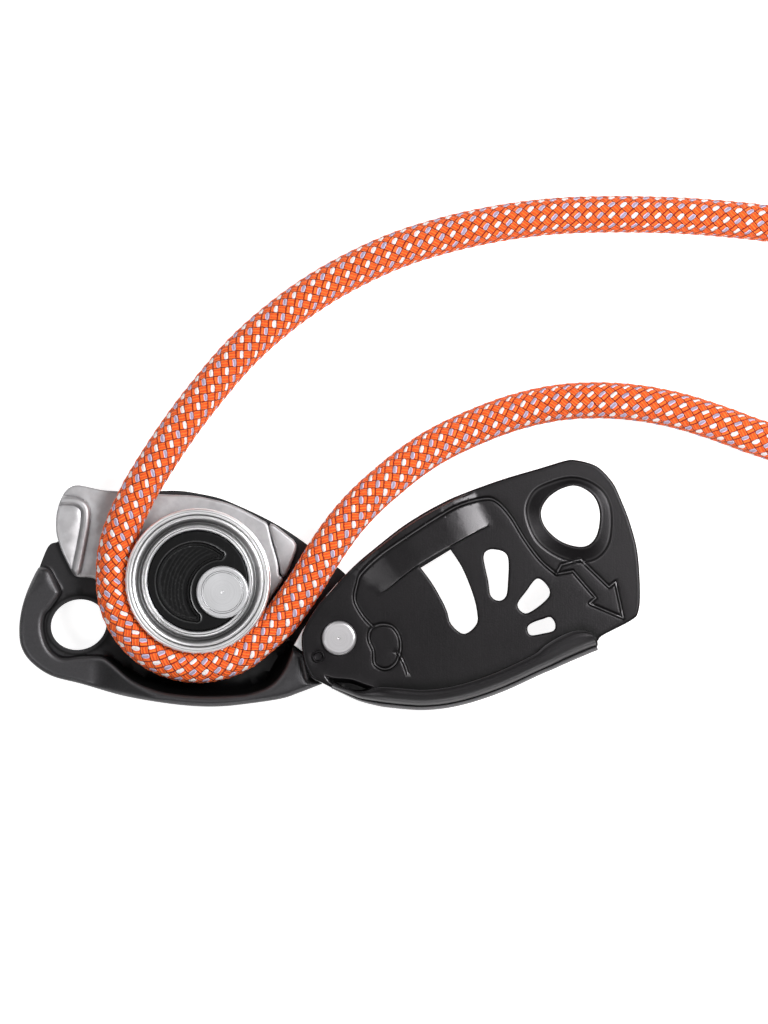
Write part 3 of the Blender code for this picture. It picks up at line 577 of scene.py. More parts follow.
# Each metal's colour, roughness, metallic share, grain, wear and depth of grain
METALS = {
    "black_anodised": (srgb(23, 21, 23), 0.36, 0.7, (2100, 2100, 2100), 0.0, 0.9),
    "dark_body": (srgb(58, 57, 59), 0.42, 0.7, (2100, 2100, 2100), 0.0, 0.5),
    "steel_plate": (srgb(168, 167, 169), 0.45, 0.7, (420, 420, 420), 0.03, 0.08),
    "bright_steel": (srgb(222, 222, 224), 0.28),
    "bronze": (srgb(176, 132, 78), 0.38),
    "spring_steel": (srgb(150, 150, 153), 0.3),
    "cam_black": (srgb(9, 9, 10), 0.42, 0.75, (600, 600, 600), 0.03, 0.1),
    # the pad's paint is near white, lighter than the liner's steel: painted light, for the pad lies in the
    # moving plate's shadow
    "pad_steel": (srgb(245, 244, 245), 0.5, 0.3, (420, 420, 420), 0.02, 0.05),
}
# Each turned face's colour, roughness, centre, ring pitch, metallic share, depth and rings of painted
# shade
TURNED_FACES = {
    "pulley_alloy": (
        srgb(236, 235, 236), 0.34, PULLEY, 0.5, 0.9, 0.0,
        # the pulley's rings of painted shade: a wide one over the dish and narrow dark lines across the
        # face
        ((15.35, 1.15, 0.93), (17.15, 0.24, 1.0), (18.0, 0.14, 0.7), (13.93, 0.16, 0.9)),
    ),
    # the axle head's two rings of painted shade lie in its fine grooves
    "axle_face": (srgb(197, 197, 199), 0.36, AXLE, 0.3, 0.7, 0.1, ((5.5, 0.12, 0.6), (5.05, 0.1, 0.4))),
    "rivet_face": (srgb(180, 178, 180), 0.36, PIVOT, 0.3, 0.7, 0.1),
}
PAINTS = {name: metal_paint(name, *look) for name, look in METALS.items()}
PAINTS |= {name: turned_paint(name, *look) for name, look in TURNED_FACES.items()}
PAINTS |= {"handle_nylon": nylon_paint(), "rope_orange": braid_paint()}


def piece(name, mesh, degrees, paint, slot, body, *stands_for):
    """Smooths a mesh up to an angle and links it with one of the paints."""
    return link(name, smooth(mesh, degrees), PAINTS[paint], slot, body, *stands_for)


# ---------------------------------------------------------------- the rope

CLIMBER_ROUTE = [
    (133.0, 90.8, 4.9), (124.0, 92.8, 4.9), (114.1, 94.4, 4.9), (101.6, 95.7, 4.9),
    (91.2, 96.4, 4.9), (80.8, 96.7, 4.9), (70.5, 96.7, 4.9), (60.1, 96.3, 4.9),
    (49.7, 95.2, 4.9), (39.3, 93.4, 4.9), (28.9, 90.9, 4.9), (18.5, 87.6, 5.1),
    (8.1, 83.0, 5.6), (-2.3, 77.2, 6.7), (-12.7, 69.8, 8.7), (-23.1, 60.4, 11.6),
    (-33.4, 48.2, 15.0), (-41.1, 37.6, 17.3), (-47.7, 27.2, 18.9), (-50.5, 22.0, 19.3),
    (-52.9, 16.8, 19.6), (-54.7, 11.6, 19.6), (-55.7, 6.4, 19.6),
]  # fmt: skip
WRAP_RADIUS, WRAP_START, WRAP_END, WRAP_POINTS = 21.85, 186.0, 316.0, 10
BRAKE_ROUTE = [
    (-12.8, -9.3, 19.6), (-8.9, -4.0, 19.6), (-5.4, 1.2, 19.6), (-2.3, 6.4, 19.6),
    (1.1, 11.6, 19.3), (5.0, 16.8, 18.3), (9.8, 22.0, 16.7), (15.4, 27.0, 14.7),
    (21.6, 32.0, 12.5), (28.9, 36.7, 10.2), (39.3, 41.6, 7.4), (49.7, 45.3, 5.6),
    (60.1, 47.5, 4.9), (70.5, 48.1, 4.9), (80.8, 47.4, 4.9), (91.2, 45.4, 4.9),
    (101.6, 42.2, 4.9), (112.0, 38.4, 4.9), (122.0, 35.6, 4.9), (132.0, 35.0, 4.9),
]  # fmt: skip
COIL_CENTRE, COIL_RADII = (178.0, -10.0), (52.3, 42.8)
COIL_LAYERS = (4.9, 14.4)
COIL_LEAD = [(141.0, 35.6, 4.9), (150.0, 37.7, 4.9), (159.5, 39.8, 4.9)]
# The coil, clockwise: bearing reached, radius there and height there
COIL_STAGES = [
    (100, 0, 0), (-200, 0, 0), (-260, 1, 0), (-500, 1, 0), (-560, 1, 1), (-800, 1, 1),
    (-860, 0, 1), (-1150, 0, 1),
]  # fmt: skip


def coil_route(step=6):
    """The coil's own points: two rings below and two on top, with slanting changes between them."""
    out = []
    for (b0, r0, z0), (b1, r1, z1) in zip(COIL_STAGES, COIL_STAGES[1:]):
        count = round((b0 - b1) / step)
        for k in range(count):
            t = ease(k / count)
            radius = COIL_RADII[r0] + (COIL_RADII[r1] - COIL_RADII[r0]) * t
            height = COIL_LAYERS[z0] + (COIL_LAYERS[z1] - COIL_LAYERS[z0]) * t
            bearing = b0 + (b1 - b0) * k / count
            out.append((*polar(COIL_CENTRE, radius, bearing), height))
    last = COIL_STAGES[-1]
    out.append((*polar(COIL_CENTRE, COIL_RADII[last[1]], last[0]), COIL_LAYERS[last[2]]))
    return out


def rope_route():
    turn, last = WRAP_END - WRAP_START, WRAP_POINTS - 1
    wrap = [
        (*polar(PULLEY, WRAP_RADIUS, WRAP_START + turn * k / last), ROPE_Z)
        for k in range(WRAP_POINTS)
    ]
    points = [*CLIMBER_ROUTE, *wrap, *BRAKE_ROUTE, *COIL_LEAD, *coil_route()]
    return [Vector(p) for p in spline_run(points, 1.0)] + [Vector(points[-1])]


def resampled(route, steps):
    """Points at the given distances along a route."""
    marks, out, i = [0.0], [], 0
    for a, b in zip(route, route[1:]):
        marks.append(marks[-1] + (b - a).length)
    for s in steps:
        while i < len(marks) - 2 and marks[i + 1] < s:
            i += 1
        t = (s - marks[i]) / (marks[i + 1] - marks[i])
        out.append(route[i].lerp(route[i + 1], min(max(t, 0.0), 1.0)))
    return out


def travelling_frames(path):
    """For each point of a path, its direction and a side that turns as little as it can."""
    up = Vector((0, 0, 1))
    out = []
    for i, here in enumerate(path):
        along = (path[min(i + 1, len(path) - 1)] - path[max(i - 1, 0)]).normalized()
        up = (up - along * up.dot(along)).normalized()
        out.append((here, along, up))
    return out


FINE_UNTIL = 470.0  # millimetres of rope modelled finely: the free strands and the wrap
SIDES = 40
RELIEF = 0.3


def crown(du, dv):
    """How high the sheath stands at a place in its braid: a dome on each over-crossing."""
    p, q = du + dv, dv - du
    return max(0.0, math.cos(math.pi * p)) ** 0.6 * max(0.0, math.cos(math.pi * q)) ** 0.5


def sheath_height(u, v):
    du, dv = u - round(u), v - round(v)
    if abs(du) + abs(dv) >= 0.5:
        du, dv = u - math.floor(u) - 0.5, v - math.floor(v) - 0.5
    return crown(du, dv)


def rope_mesh(route, length):
    """The rope as a tube whose surface follows the braid, with the braid's own coordinates."""
    steps, s = [], 0.0
    while s < length:
        steps.append(s)
        s += CELL / 4 if s < FINE_UNTIL else CELL / 2
    steps.append(length)
    edit = bmesh.new()
    layer = edit.loops.layers.uv.new("braid")
    rings = []
    for s, (here, along, up) in zip(steps, travelling_frames(resampled(route, steps))):
        left = up.cross(along)
        ring = []
        end = min(s, length - s)
        taper = 1 - 0.28 * max(0.0, 1 - end / 3.0) ** 2  # melted ends
        for k in range(SIDES):
            angle = 2 * math.pi * k / SIDES
            high = sheath_height(s / CELL, k * ROWS / SIDES)
            radius = (ROPE_D / 2 - RELIEF * 0.62 + RELIEF * high) * taper
            out = up * math.cos(angle) + left * math.sin(angle)
            ring.append(edit.verts.new(here + out * radius))
        rings.append(ring)
    for number, face in enumerate(tube(edit, rings)):
        i, k = divmod(number, SIDES)
        face.smooth = True
        spots = ((i, k), (i, k + 1), (i + 1, k + 1), (i + 1, k))
        for loop, (row, col) in zip(face.loops, spots):
            loop[layer].uv = (steps[row] / CELL, col * ROWS / SIDES)
    return mesh_from(edit, "rope", 0)


SLEEVE_SIDES, SLEEVE_POINTS, SLEEVE_STEP = 48, 24, 0.7
SLEEVE_INSET, SLEEVE_REACH = 1.0, 17.5  # from the rope's near end, and back from its far end


def sleeve(name, path, material):
    """A shrunk sleeve over a rope's end: a tube a little larger, rounded over at both rims."""
    edit = bmesh.new()
    frames = travelling_frames(path)
    last = len(frames) - 1
    rings = []
    for i, (here, along, up) in enumerate(frames):
        left = up.cross(along)
        edge = min(i, last - i) / last
        radius = ROPE_D / 2 + 0.12 - 0.3 * max(0.0, 1 - edge * 9) ** 2
        rings.append([
            edit.verts.new(here + (up * math.cos(a) + left * math.sin(a)) * radius)
            for a in (2 * math.pi * k / SLEEVE_SIDES for k in range(SLEEVE_SIDES))
        ])  # fmt: skip
    tube(edit, rings)
    return link(name, smooth(mesh_from(edit, name)), material, "handle_nylon", "fixed_side")


def coil_tie(material):
    """A strap round all four turns of the coil, on the side away from the device."""
    width, thick, bearing = 16.0, 1.1, -20.0
    middle, half = sum(COIL_RADII) / 2, (COIL_RADII[0] - COIL_RADII[1]) / 2 + ROPE_D / 2 + 0.2
    low, high = 0.12, COIL_LAYERS[1] + ROPE_D / 2 + 0.2
    corner = ROPE_D / 2
    loop = []
    for (sx, sz), start in zip(((1, 1), (-1, 1), (-1, -1), (1, -1)), (0, 90, 180, 270)):
        cx = middle + sx * (half - corner)
        cz = (high - corner) if sz > 0 else (low + thick + corner)
        for k in range(7):
            a = math.radians(start + 15 * k)
            loop.append((cx, cz, math.cos(a), math.sin(a)))
    edit = bmesh.new()
    rows = []
    for k in range(9):
        side = -width / 2 + width * k / 8
        swell = 0.25 * math.cos(math.pi * (k / 8 - 0.5))
        row = []
        for cx, cz, nx, nz in loop:
            pair = []
            for reach in (corner, corner + thick + swell * 0.4):
                r, z = cx + nx * reach, cz + nz * reach
                base = Vector((*polar(COIL_CENTRE, r, bearing), max(z, 0.0)))
                across = Vector((-math.sin(math.radians(bearing)), math.cos(math.radians(bearing)), 0))
                pair.append(edit.verts.new(base + across * side))
            row.append(pair)
        rows.append(row)
    count = len(loop)
    for a, b in zip(rows, rows[1:]):
        for k in range(count):
            n = (k + 1) % count
            edit.faces.new((a[k][1], a[n][1], b[n][1], b[k][1]))
            edit.faces.new((a[k][0], b[k][0], b[n][0], a[n][0]))
    for row in (rows[0], rows[-1]):
        for k in range(count):
            n = (k + 1) % count
            edit.faces.new((row[k][0], row[n][0], row[n][1], row[k][1]))
    return link("coil_tie", smooth(mesh_from(edit, "coil_tie", 1e-5)), material,
                "handle_nylon", "fixed_side")  # fmt: skip


def build_rope():
    route = rope_route()
    length = sum((b - a).length for a, b in zip(route, route[1:]))
    rope = link("rope", rope_mesh(route, length), PAINTS["rope_orange"], "rope_orange",
                "fixed_side", "rope_strand", "rope_coil")  # fmt: skip
    near = resampled(route, [SLEEVE_INSET + SLEEVE_STEP * k for k in range(SLEEVE_POINTS)])
    start = length - SLEEVE_REACH
    far = resampled(route, [start + SLEEVE_STEP * k for k in range(SLEEVE_POINTS)])
    black = sleeve_paint()
    pieces = [sleeve("rope_sleeve_near", near, black), sleeve("rope_sleeve_far", far, black)]
    pieces.append(coil_tie(webbing_paint()))


# ---------------------------------------------------------------- the moving side plate

SWING_OUTLINE = [
    (-6.8, -17.7), (-7.0, -13.3), (-5.7, -9.9), (-4.1, -7.3), (-2.3, -4.7), (0.3, -1.9),
    (4.2, 2.5), (8.1, 6.3), (13.3, 10.6), (18.5, 14.7), (23.7, 18.1), (28.9, 21.0),
    (34.1, 23.4), (44.5, 27.2), (54.9, 30.3), (61.6, 32.3), (64.0, 32.4), (67.9, 31.5),
    (70.5, 30.1), (73.8, 26.4), (75.9, 22.0), (78.2, 16.0), (80.1, 8.5), (80.8, -1.4),
    (80.3, -7.1), (78.2, -9.4), (70.4, -13.6), (69.6, -16.2), (65.3, -18.2), (54.9, -22.6),
    (44.5, -27.3), (34.1, -30.6), (25.0, -31.8), (15.9, -31.2), (8.1, -29.6), (2.9, -27.7),
    (-1.8, -25.4), (-4.4, -24.0), (-6.1, -20.8),
]
CARABINER_HOLE = [
    (55.1, 18.9), (56.9, 22.5), (60.6, 25.0), (64.5, 25.6), (68.4, 23.3), (70.2, 19.4),
    (69.9, 14.2), (68.1, 10.9), (65.0, 9.9), (60.1, 11.4), (56.2, 15.0),
]
COLLAR_OUTLINE = [
    (51.2, 18.9), (53.1, 24.1), (57.5, 26.6), (63.2, 27.9), (68.4, 26.4), (72.0, 23.1),
    (73.4, 18.1), (72.8, 11.1), (69.9, 7.1), (65.3, 5.9), (59.5, 7.3), (53.8, 11.7),
]
WINDOWS = [
    [(23.9, 4.4, 1), (26.8, 0.5), (29.2, -3.6), (30.7, -6.8), (31.8, -10.2), (35.1, -12.7),
     (38.3, -10.2), (38.4, -6.6), (37.2, -1.9), (34.6, 4.4), (31.6, 9.1, 1)],
    [(40.2, 7.2), (41.4, 9.0), (43.4, 9.1), (45.6, 8.4), (46.6, 6.4), (46.5, 1.0),
     (46.0, -2.9), (44.2, -4.1), (42.1, -2.9), (41.4, 1.0)],
    [(54.1, 1.6), (56.8, -0.4), (57.2, -2.8), (54.4, -5.6), (51.0, -7.4), (49.0, -5.2),
     (51.2, -1.8)],
    [(51.6, -11.0), (53.0, -9.8), (55.6, -8.9), (57.5, -8.4), (58.7, -10.0), (58.4, -11.8),
     (55.6, -12.6), (52.3, -13.0)],
]
# The bridge strip's stations, from its left end: outer edge, inner edge and height over the plate
STRIP_STATIONS = [
    (5.2, 3.2, 14.6, -1.7, -0.1), (9.4, 6.9, 16.4, -0.5, 1.0), (12.6, 9.6, 18.9, 1.6, 1.8),
    (18.9, 14.5, 23.7, 5.2, 2.0), (24.4, 18.0, 28.2, 8.0, 2.0), (29.5, 20.8, 32.6, 10.4, 2.0),
    (32.8, 22.4, 36.0, 12.3, 1.7), (36.0, 23.7, 38.9, 13.8, 0.7), (38.6, 24.7, 41.5, 15.1, -0.1),
]
# The lip's free edge, as it stands over the plate
FREE_EDGE = [
    (69.4, -13.8), (67.3, -12.3), (65.3, -11.9), (60.1, -13.6), (58.0, -15.1), (56.4, -17.7),
    (54.4, -18.9), (49.7, -21.0), (44.5, -22.9), (34.1, -25.9), (23.7, -26.8), (13.3, -26.6),
]
# The hollow where the lip begins
HOLLOW = [
    (-1.1, -23.4), (1.5, -24.0), (4.0, -24.2), (6.4, -24.5), (9.4, -25.6), (12.0, -26.6),
    (10.0, -28.0), (7.6, -28.5), (4.5, -28.1), (2.1, -26.8), (0.1, -25.4),
]
# The engraved rope path, with a plain arrow and a plain oval in place of pictures at its ends
PATH_LINE = [
    (59.0, 2.8), (54.9, 6.4), (51.0, 11.6), (47.1, 17.9), (43.7, 21.5), (40.6, 22.4), (34.1, 20.7),
    (28.9, 17.9), (21.1, 12.9), (13.3, 7.5), (8.6, 3.1), (7.3, -0.1), (6.8, -4.0), (8.9, -8.1),
    (11.6, -11.0),
]
PATH_TAIL = [(17.9, -17.6), (19.4, -20.0), (20.6, -23.2)]
OVAL = [
    (11.0, -11.6), (13.4, -10.3), (16.4, -10.8), (18.3, -13.4), (18.6, -17.0), (17.2, -20.6),
    (14.6, -21.9), (12.0, -20.6), (11.6, -17.2), (10.4, -14.0),
]
ARROW = [
    (59.0, 2.8, 1), (63.3, 3.6, 1), (69.3, -3.4, 1), (67.6, -4.9, 1), (76.4, -8.6, 1), (74.4, 0.8, 1),
    (72.7, -0.6, 1), (65.3, 6.6, 1), (60.4, 5.2, 1),
]


def strip_side(which, step=0.8):
    """One long edge of the bridge strip: 0 is its outer edge and 2 its inner one."""
    return spline_run([s[which : which + 2] for s in STRIP_STATIONS], step)


def strip_rise(points):
    """How high the strip stands over the plate at each point between its ends."""
    centres = np.asarray([((a + c) / 2, (b + d) / 2) for a, b, c, d, _ in STRIP_STATIONS])
    rises = np.asarray([s[4] for s in STRIP_STATIONS])
    best, out = np.full(len(points), 1e9), np.zeros(len(points))
    for k in range(len(centres) - 1):
        a, b = centres[k], centres[k + 1]
        d = b - a
        t = np.clip(((points - a) * d).sum(1) / (d * d).sum(), 0, 1)
        gap = np.linalg.norm(points - a - t[:, None] * d, axis=1)
        nearer = gap < best
        best = np.where(nearer, gap, best)
        out = np.where(nearer, rises[k] * (1 - t) + rises[k + 1] * t, out)
    return np.maximum(out, 0)


def moving_plate():
    outline = smooth_loop(SWING_OUTLINE)
    hole = smooth_loop(CARABINER_HOLE, 0.7)
    windows = [smooth_loop(w, 0.7) for w in WINDOWS]
    collar = smooth_loop(COLLAR_OUTLINE, 0.8)
    hollow = smooth_loop(HOLLOW, 0.6)
    pivot, detent = circle(PIVOT, 3.7, 48), circle(DETENT, 1.35, 32)
    outer, inner = strip_side(0), strip_side(2)
    strip = outer + inner[::-1]
    free_edge = spline_run(FREE_EDGE, 0.8)
    lines = [
        (spline_run(PATH_LINE, 0.5), False), (spline_run(PATH_TAIL, 0.5), False),
        (smooth_loop(OVAL, 0.5), True), (smooth_loop(ARROW, 0.5), True),
    ]

    def top(p):
        z = SWING_TOP - drop(to_line(p, outline), 0.55)
        on_strip = inside(p, strip)
        side = np.minimum(to_line(p, outer, False), to_line(p, inner, False))
        z += np.where(on_strip, strip_rise(p) * ease(side / 0.4) ** 0.5, 0)
        rim, edge = to_line(p, collar), to_line(p, hole)
        cone = 1.1 * (rim / (rim + edge + 1e-9)) ** 1.3
        z += np.where(inside(p, collar), cone, 0) - 0.12 * bell(rim, 0.22)
        z -= drop(edge, 0.8)
        for window in windows:
            z -= drop(to_line(p, window), 0.5)
        deep = to_line(p, hollow)
        z -= np.where(inside(p, hollow), 1.5 * ease(deep / 1.6), 0)
        for line, closed in lines:
            e = to_line(p, line, closed)
            z += 0.08 * bell(e, 0.15) - 0.16 * bell(e, 0.16, 0.4)
        for small in (pivot, detent):
            z -= drop(to_line(p, small), 0.15)
        return z

    def bottom(p):
        z = SWING_BOTTOM + drop(to_line(p, outline), 0.3)
        for loop in (hole, *windows):
            z += drop(to_line(p, loop), 0.3)
        return z

    # Painted light on the plate: a light line with painted shade either side along each engraved line, a
    # painted shadow under the lip's free edge, a line of painted shade inside the outline, painted shade
    # at the foot of the strip's inner edge with a painted highlight just above it, painted highlights on
    # the strip's sloping ends, painted shade round the hole and the windows, a dark and a light line round
    # the collar, and a light line round the hollow with painted shade inside it.
    def marks(p):
        value = np.zeros(len(p))
        for line, closed in lines:
            e = to_line(p, line, closed)
            value += 0.8 * bell(e, 0.16) - bell(e, 0.18, 0.42)
        under = to_line(p, free_edge, False)
        value -= ease(1.15 - under / 2.2)
        value -= 0.6 * bell(to_line(p, outline), 0.16, 0.85)
        side, on_strip = to_line(p, inner, False), inside(p, strip)
        value -= np.where(on_strip, 0, 0.8 * bell(side, 0.3))
        value += np.where(on_strip, 0.35 * bell(side, 0.16, 0.35), 0)
        # painted highlight on the strip's sloping ends, stronger on the right-hand one
        slope = ease(1.3 - strip_rise(p) / 1.6)
        ramp_painted_highlight = np.where(p[:, 0] > 25, 0.26, 0.1) * slope * ease(side / 0.6)
        value += np.where(on_strip, ramp_painted_highlight, 0)
        for loop in (hole, *windows):
            value -= 0.8 * bell(to_line(p, loop), 0.3)
        rim = to_line(p, collar)
        value -= 0.5 * bell(rim, 0.16)
        value += 0.25 * bell(rim, 0.16, 0.35)
        deep = to_line(p, hollow)
        value += 0.35 * bell(deep, 0.13)
        value -= np.where(inside(p, hollow), 0.9 * ease(deep / 0.8), 0)
        return np.clip(value, -1, 1)

    side_rows = (0, 0.12, -0.12, 0.25, -0.25, 0.4, -0.4, 0.6, -0.6)
    guides = [(outline, (0.06, 0.18, 0.36, 0.6, 0.85, 1.1, 1.5), True),
              (collar, (0, 0.2, -0.2, 0.4, -0.4, -0.65, -0.9, 0.9), True),
              (hollow, (0, -0.2, 0.2, 0.45, 0.8, 1.2), True),
              (free_edge, (0.01, 0.5, -0.5, 1.0, 1.6), False),
              (outer, side_rows, False), (inner, side_rows, False)]  # fmt: skip
    hole_rows = (-0.06, -0.2, -0.36, -0.55, -0.85, -1.2)
    guides += [(loop, hole_rows, True) for loop in (hole, *windows)]
    guides += [(line, (0, 0.2, -0.2, 0.4, -0.4, 0.65, -0.65, 0.9, -0.9), closed) for line, closed in lines]
    for ax, ay, bx, by, _ in STRIP_STATIONS[1:-1]:
        line = [(ax + (bx - ax) * k / 12, ay + (by - ay) * k / 12) for k in range(1, 12)]
        guides.append((line, (0,), False))
    mesh = relief_plate(
        "moving_plate", [outline], [hole, *windows, pivot, detent], guides, top, bottom,
        1.5, marks,
    )  # fmt: skip
    looks = (40, "black_anodised", "black_anodised", "moving_side")
    piece("moving_plate", mesh, *looks, "moving_side_plate")
    piece("rolled_lip", rolled_lip(), *looks)


# The lip's stations along the plate's lower edge: x, y, how wide the roll is and how far in it goes
LIP_STATIONS = [
    (0.6, -26.8, 0.3, 0.3), (5.0, -28.9, 0.5, 0.2), (8.1, -30.2, 0.62, 0.42),
    (11.8, -31.2, 0.9, 0.9), (15.9, -31.9, 1.0, 1.0), (25.0, -32.5, 1.0, 1.0),
    (34.1, -31.3, 1.0, 1.0), (44.5, -28.0, 1.0, 1.0), (54.9, -23.3, 1.0, 1.05),
    (58.0, -22.0, 1.05, 1.35), (62.0, -20.2, 1.15, 1.5), (66.0, -18.5, 1.2, 1.45),
    (68.6, -17.4, 1.15, 1.1), (69.9, -16.9, 1.1, 0.7),
]
# The lip's section: distance in from its outer edge, height above the plate's underside, and
# whether that point follows the free edge
LIP_SECTION = [
    (1.3, 0.0, 0), (0.4, 0.3, 0), (0.05, 0.9, 0), (0.0, 1.8, 0), (0.05, 2.5, 0), (0.3, 2.95, 0),
    (0.6, 3.25, 0), (0.9, 3.4, 0), (1.0, 2.9, 0), (1.16, 2.9, 0), (1.24, 3.9, 0), (1.45, 4.7, 0),
    (1.75, 5.4, 0), (2.3, 5.95, 0), (3.0, 6.25, 0), (3.8, 6.35, 1), (4.6, 6.3, 1), (5.1, 6.1, 1),
    (5.3, 5.8, 1), (5.2, 5.5, 1), (4.8, 5.3, 1), (3.9, 5.2, 1), (3.0, 4.6, 0), (2.4, 3.7, 0),
    (2.2, 2.4, 0), (2.4, 1.7, 0), (2.7, 1.2, 0), (2.6, 0.3, 0),
]
# How much painted highlight (above 0) and painted shade (below 0) each point of the section carries:
# highlights on the outer band, the roll and the free edge, shade in the groove and under the curl
LIP_PAINTED_LIGHT = [
    0, 0, 0, 0.2, 0.5, 0.8, 0.8, 0.2, -1, -1, -0.8, 0.1, 0.4, 0.45, 0.2, 0, -0.1, 0.2,
    0.8, -0.3, -1, -1, -1, -1, -1, -1, -1, 0,
]


def rolled_lip():
    stations = spline_run([Vector(s) for s in LIP_STATIONS], 1.0)
    stations.append(LIP_STATIONS[-1])
    sections = []
    for i, (x, y, width, reach) in enumerate(stations):
        back, ahead = stations[max(i - 1, 0)], stations[min(i + 1, len(stations) - 1)]
        along = Vector((ahead[0] - back[0], ahead[1] - back[1])).normalized()
        tall = 0.55 + 0.45 * min(width, 1.0)
        row = []
        for u, h, free in LIP_SECTION:
            in_ = 2.6 * width + (u - 2.6) * reach if free else u * width
            row.append((x - along.y * in_, y + along.x * in_, SWING_BOTTOM + h * tall))
        sections.append(row)
    return swept("rolled_lip", sections, LIP_PAINTED_LIGHT)


# ---------------------------------------------------------------- the fixed side

BODY_OUTLINE = [
    (-73.2, 10.0), (-70.6, 11.3), (-70.0, 14.0), (-69.6, 19.0), (-67.6, 23.0), (-64.6, 24.2),
    (-54.0, 23.6), (-43.8, 24.4), (-38.6, 24.4), (-33.4, 23.6), (-28.2, 22.4), (-23.1, 20.3),
    (-17.9, 17.9), (-12.7, 15.1), (-7.5, 11.7), (-1.2, 7.0), (4.5, 2.5), (9.5, -3.5),
    (11.6, -10.5), (10.0, -18.0), (5.0, -23.4), (-2.4, -25.4), (-13.0, -29.2), (-23.1, -30.7),
    (-36.0, -31.0), (-54.2, -28.3), (-64.6, -25.4), (-72.2, -23.2), (-77.0, -20.0),
    (-79.6, -16.2), (-80.2, -11.8), (-79.6, -6.7), (-78.0, -1.5), (-76.0, 3.3),
]
RIM_OUTLINE = [
    (-76.4, 3.4), (-78.6, -1.4), (-80.2, -6.6), (-80.8, -11.8), (-80.2, -16.4), (-77.6, -20.3),
    (-72.4, -23.8), (-64.6, -25.9), (-54.2, -28.8), (-43.8, -30.6), (-36.0, -31.5),
    (-29.5, -31.7), (-23.1, -31.2), (-12.7, -29.7), (-7.5, -28.0), (-1.8, -25.8, 1),
    (-5.4, -24.6, 1), (-6.8, -18.3, 1), (-9.4, -16.9, 1), (-11.9, -22.4), (-15.4, -26.2),
    (-20.5, -28.2), (-26.0, -28.8), (-33.4, -28.9), (-41.2, -28.2), (-46.4, -26.9),
    (-51.6, -24.5), (-56.8, -20.2), (-59.4, -18.8), (-64.6, -18.8), (-68.6, -19.2),
    (-71.2, -18.4), (-73.4, -16.0), (-74.6, -11.8), (-74.2, -8.1), (-72.4, -5.8), (-70.2, -2.6),
    (-70.2, -1.2), (-71.9, 3.1), (-73.4, 4.6), (-75.3, 4.6),
]
LINER_OUTLINE = [
    (-69.4, 23.3), (-70.4, 21.0), (-71.1, 18.1), (-71.2, 15.5), (-71.0, 12.9), (-69.8, 9.0),
    (-68.4, 5.9), (-66.7, 2.8), (-65.4, 1.9), (-60.7, 1.1), (-56.2, -5.5), (-47.0, -14.8),
    (-36.0, -18.8), (-24.0, -17.2), (-16.4, -11.0), (-15.6, -4.5), (-12.0, 1.2), (-12.9, 2.5),
    (-13.3, 5.9), (-14.8, 11.1), (-15.9, 15.6), (-17.4, 16.8), (-20.5, 18.5), (-25.6, 20.9),
    (-30.8, 22.3), (-36.0, 23.2), (-43.8, 23.5), (-54.2, 24.3), (-59.4, 24.7), (-65.1, 25.9),
    (-67.3, 25.5), (-68.6, 24.5),
]
BEAD_LINE = [
    (-71.4, 22.0), (-70.2, 21.9), (-67.8, 21.9), (-65.8, 21.6), (-64.2, 20.7), (-63.4, 18.9),
    (-63.6, 15.2), (-64.8, 8.6), (-65.9, 3.4),
]
CORNER_OUTLINE = [
    (-15.4, 15.2), (-14.4, 11.1), (-12.9, 5.9), (-12.3, 2.8), (-11.3, 2.6), (-8.8, 9.0),
    (-9.2, 11.2), (-10.3, 12.2), (-14.4, 15.4),
]
WEB_BOTTOM, WEB_TOP, LINER_LOW, LINER_TOP = 8.0, 11.0, 11.3, 12.8
RIM_LOW, RIM_HIGH, WALL_HIGH = 6.4, 13.6, 24.0
RAMP_START, RAMP_LENGTH = -63.0, 20.0


def ellipse(centre, half_long, half_short, tilt, count=96):
    c, s = math.cos(math.radians(tilt)), math.sin(math.radians(tilt))
    out = []
    for k in range(count):
        angle = 2 * math.pi * k / count
        u, v = half_long * math.cos(angle), half_short * math.sin(angle)
        out.append((centre[0] + u * c - v * s, centre[1] + u * s + v * c))
    return out


def arc_slot(centre, orbit, half_width, start, end):
    """A curved slot with round ends, whose end centres lie at the two bearings."""
    first, last = polar(centre, orbit, start), polar(centre, orbit, end)
    return (
        arc(centre, orbit + half_width, start, end)
        + arc(last, half_width, end, end + 180)[1:-1]
        + arc(centre, orbit - half_width, end, start)
        + arc(first, half_width, start + 180, start + 360)[1:-1]
    )


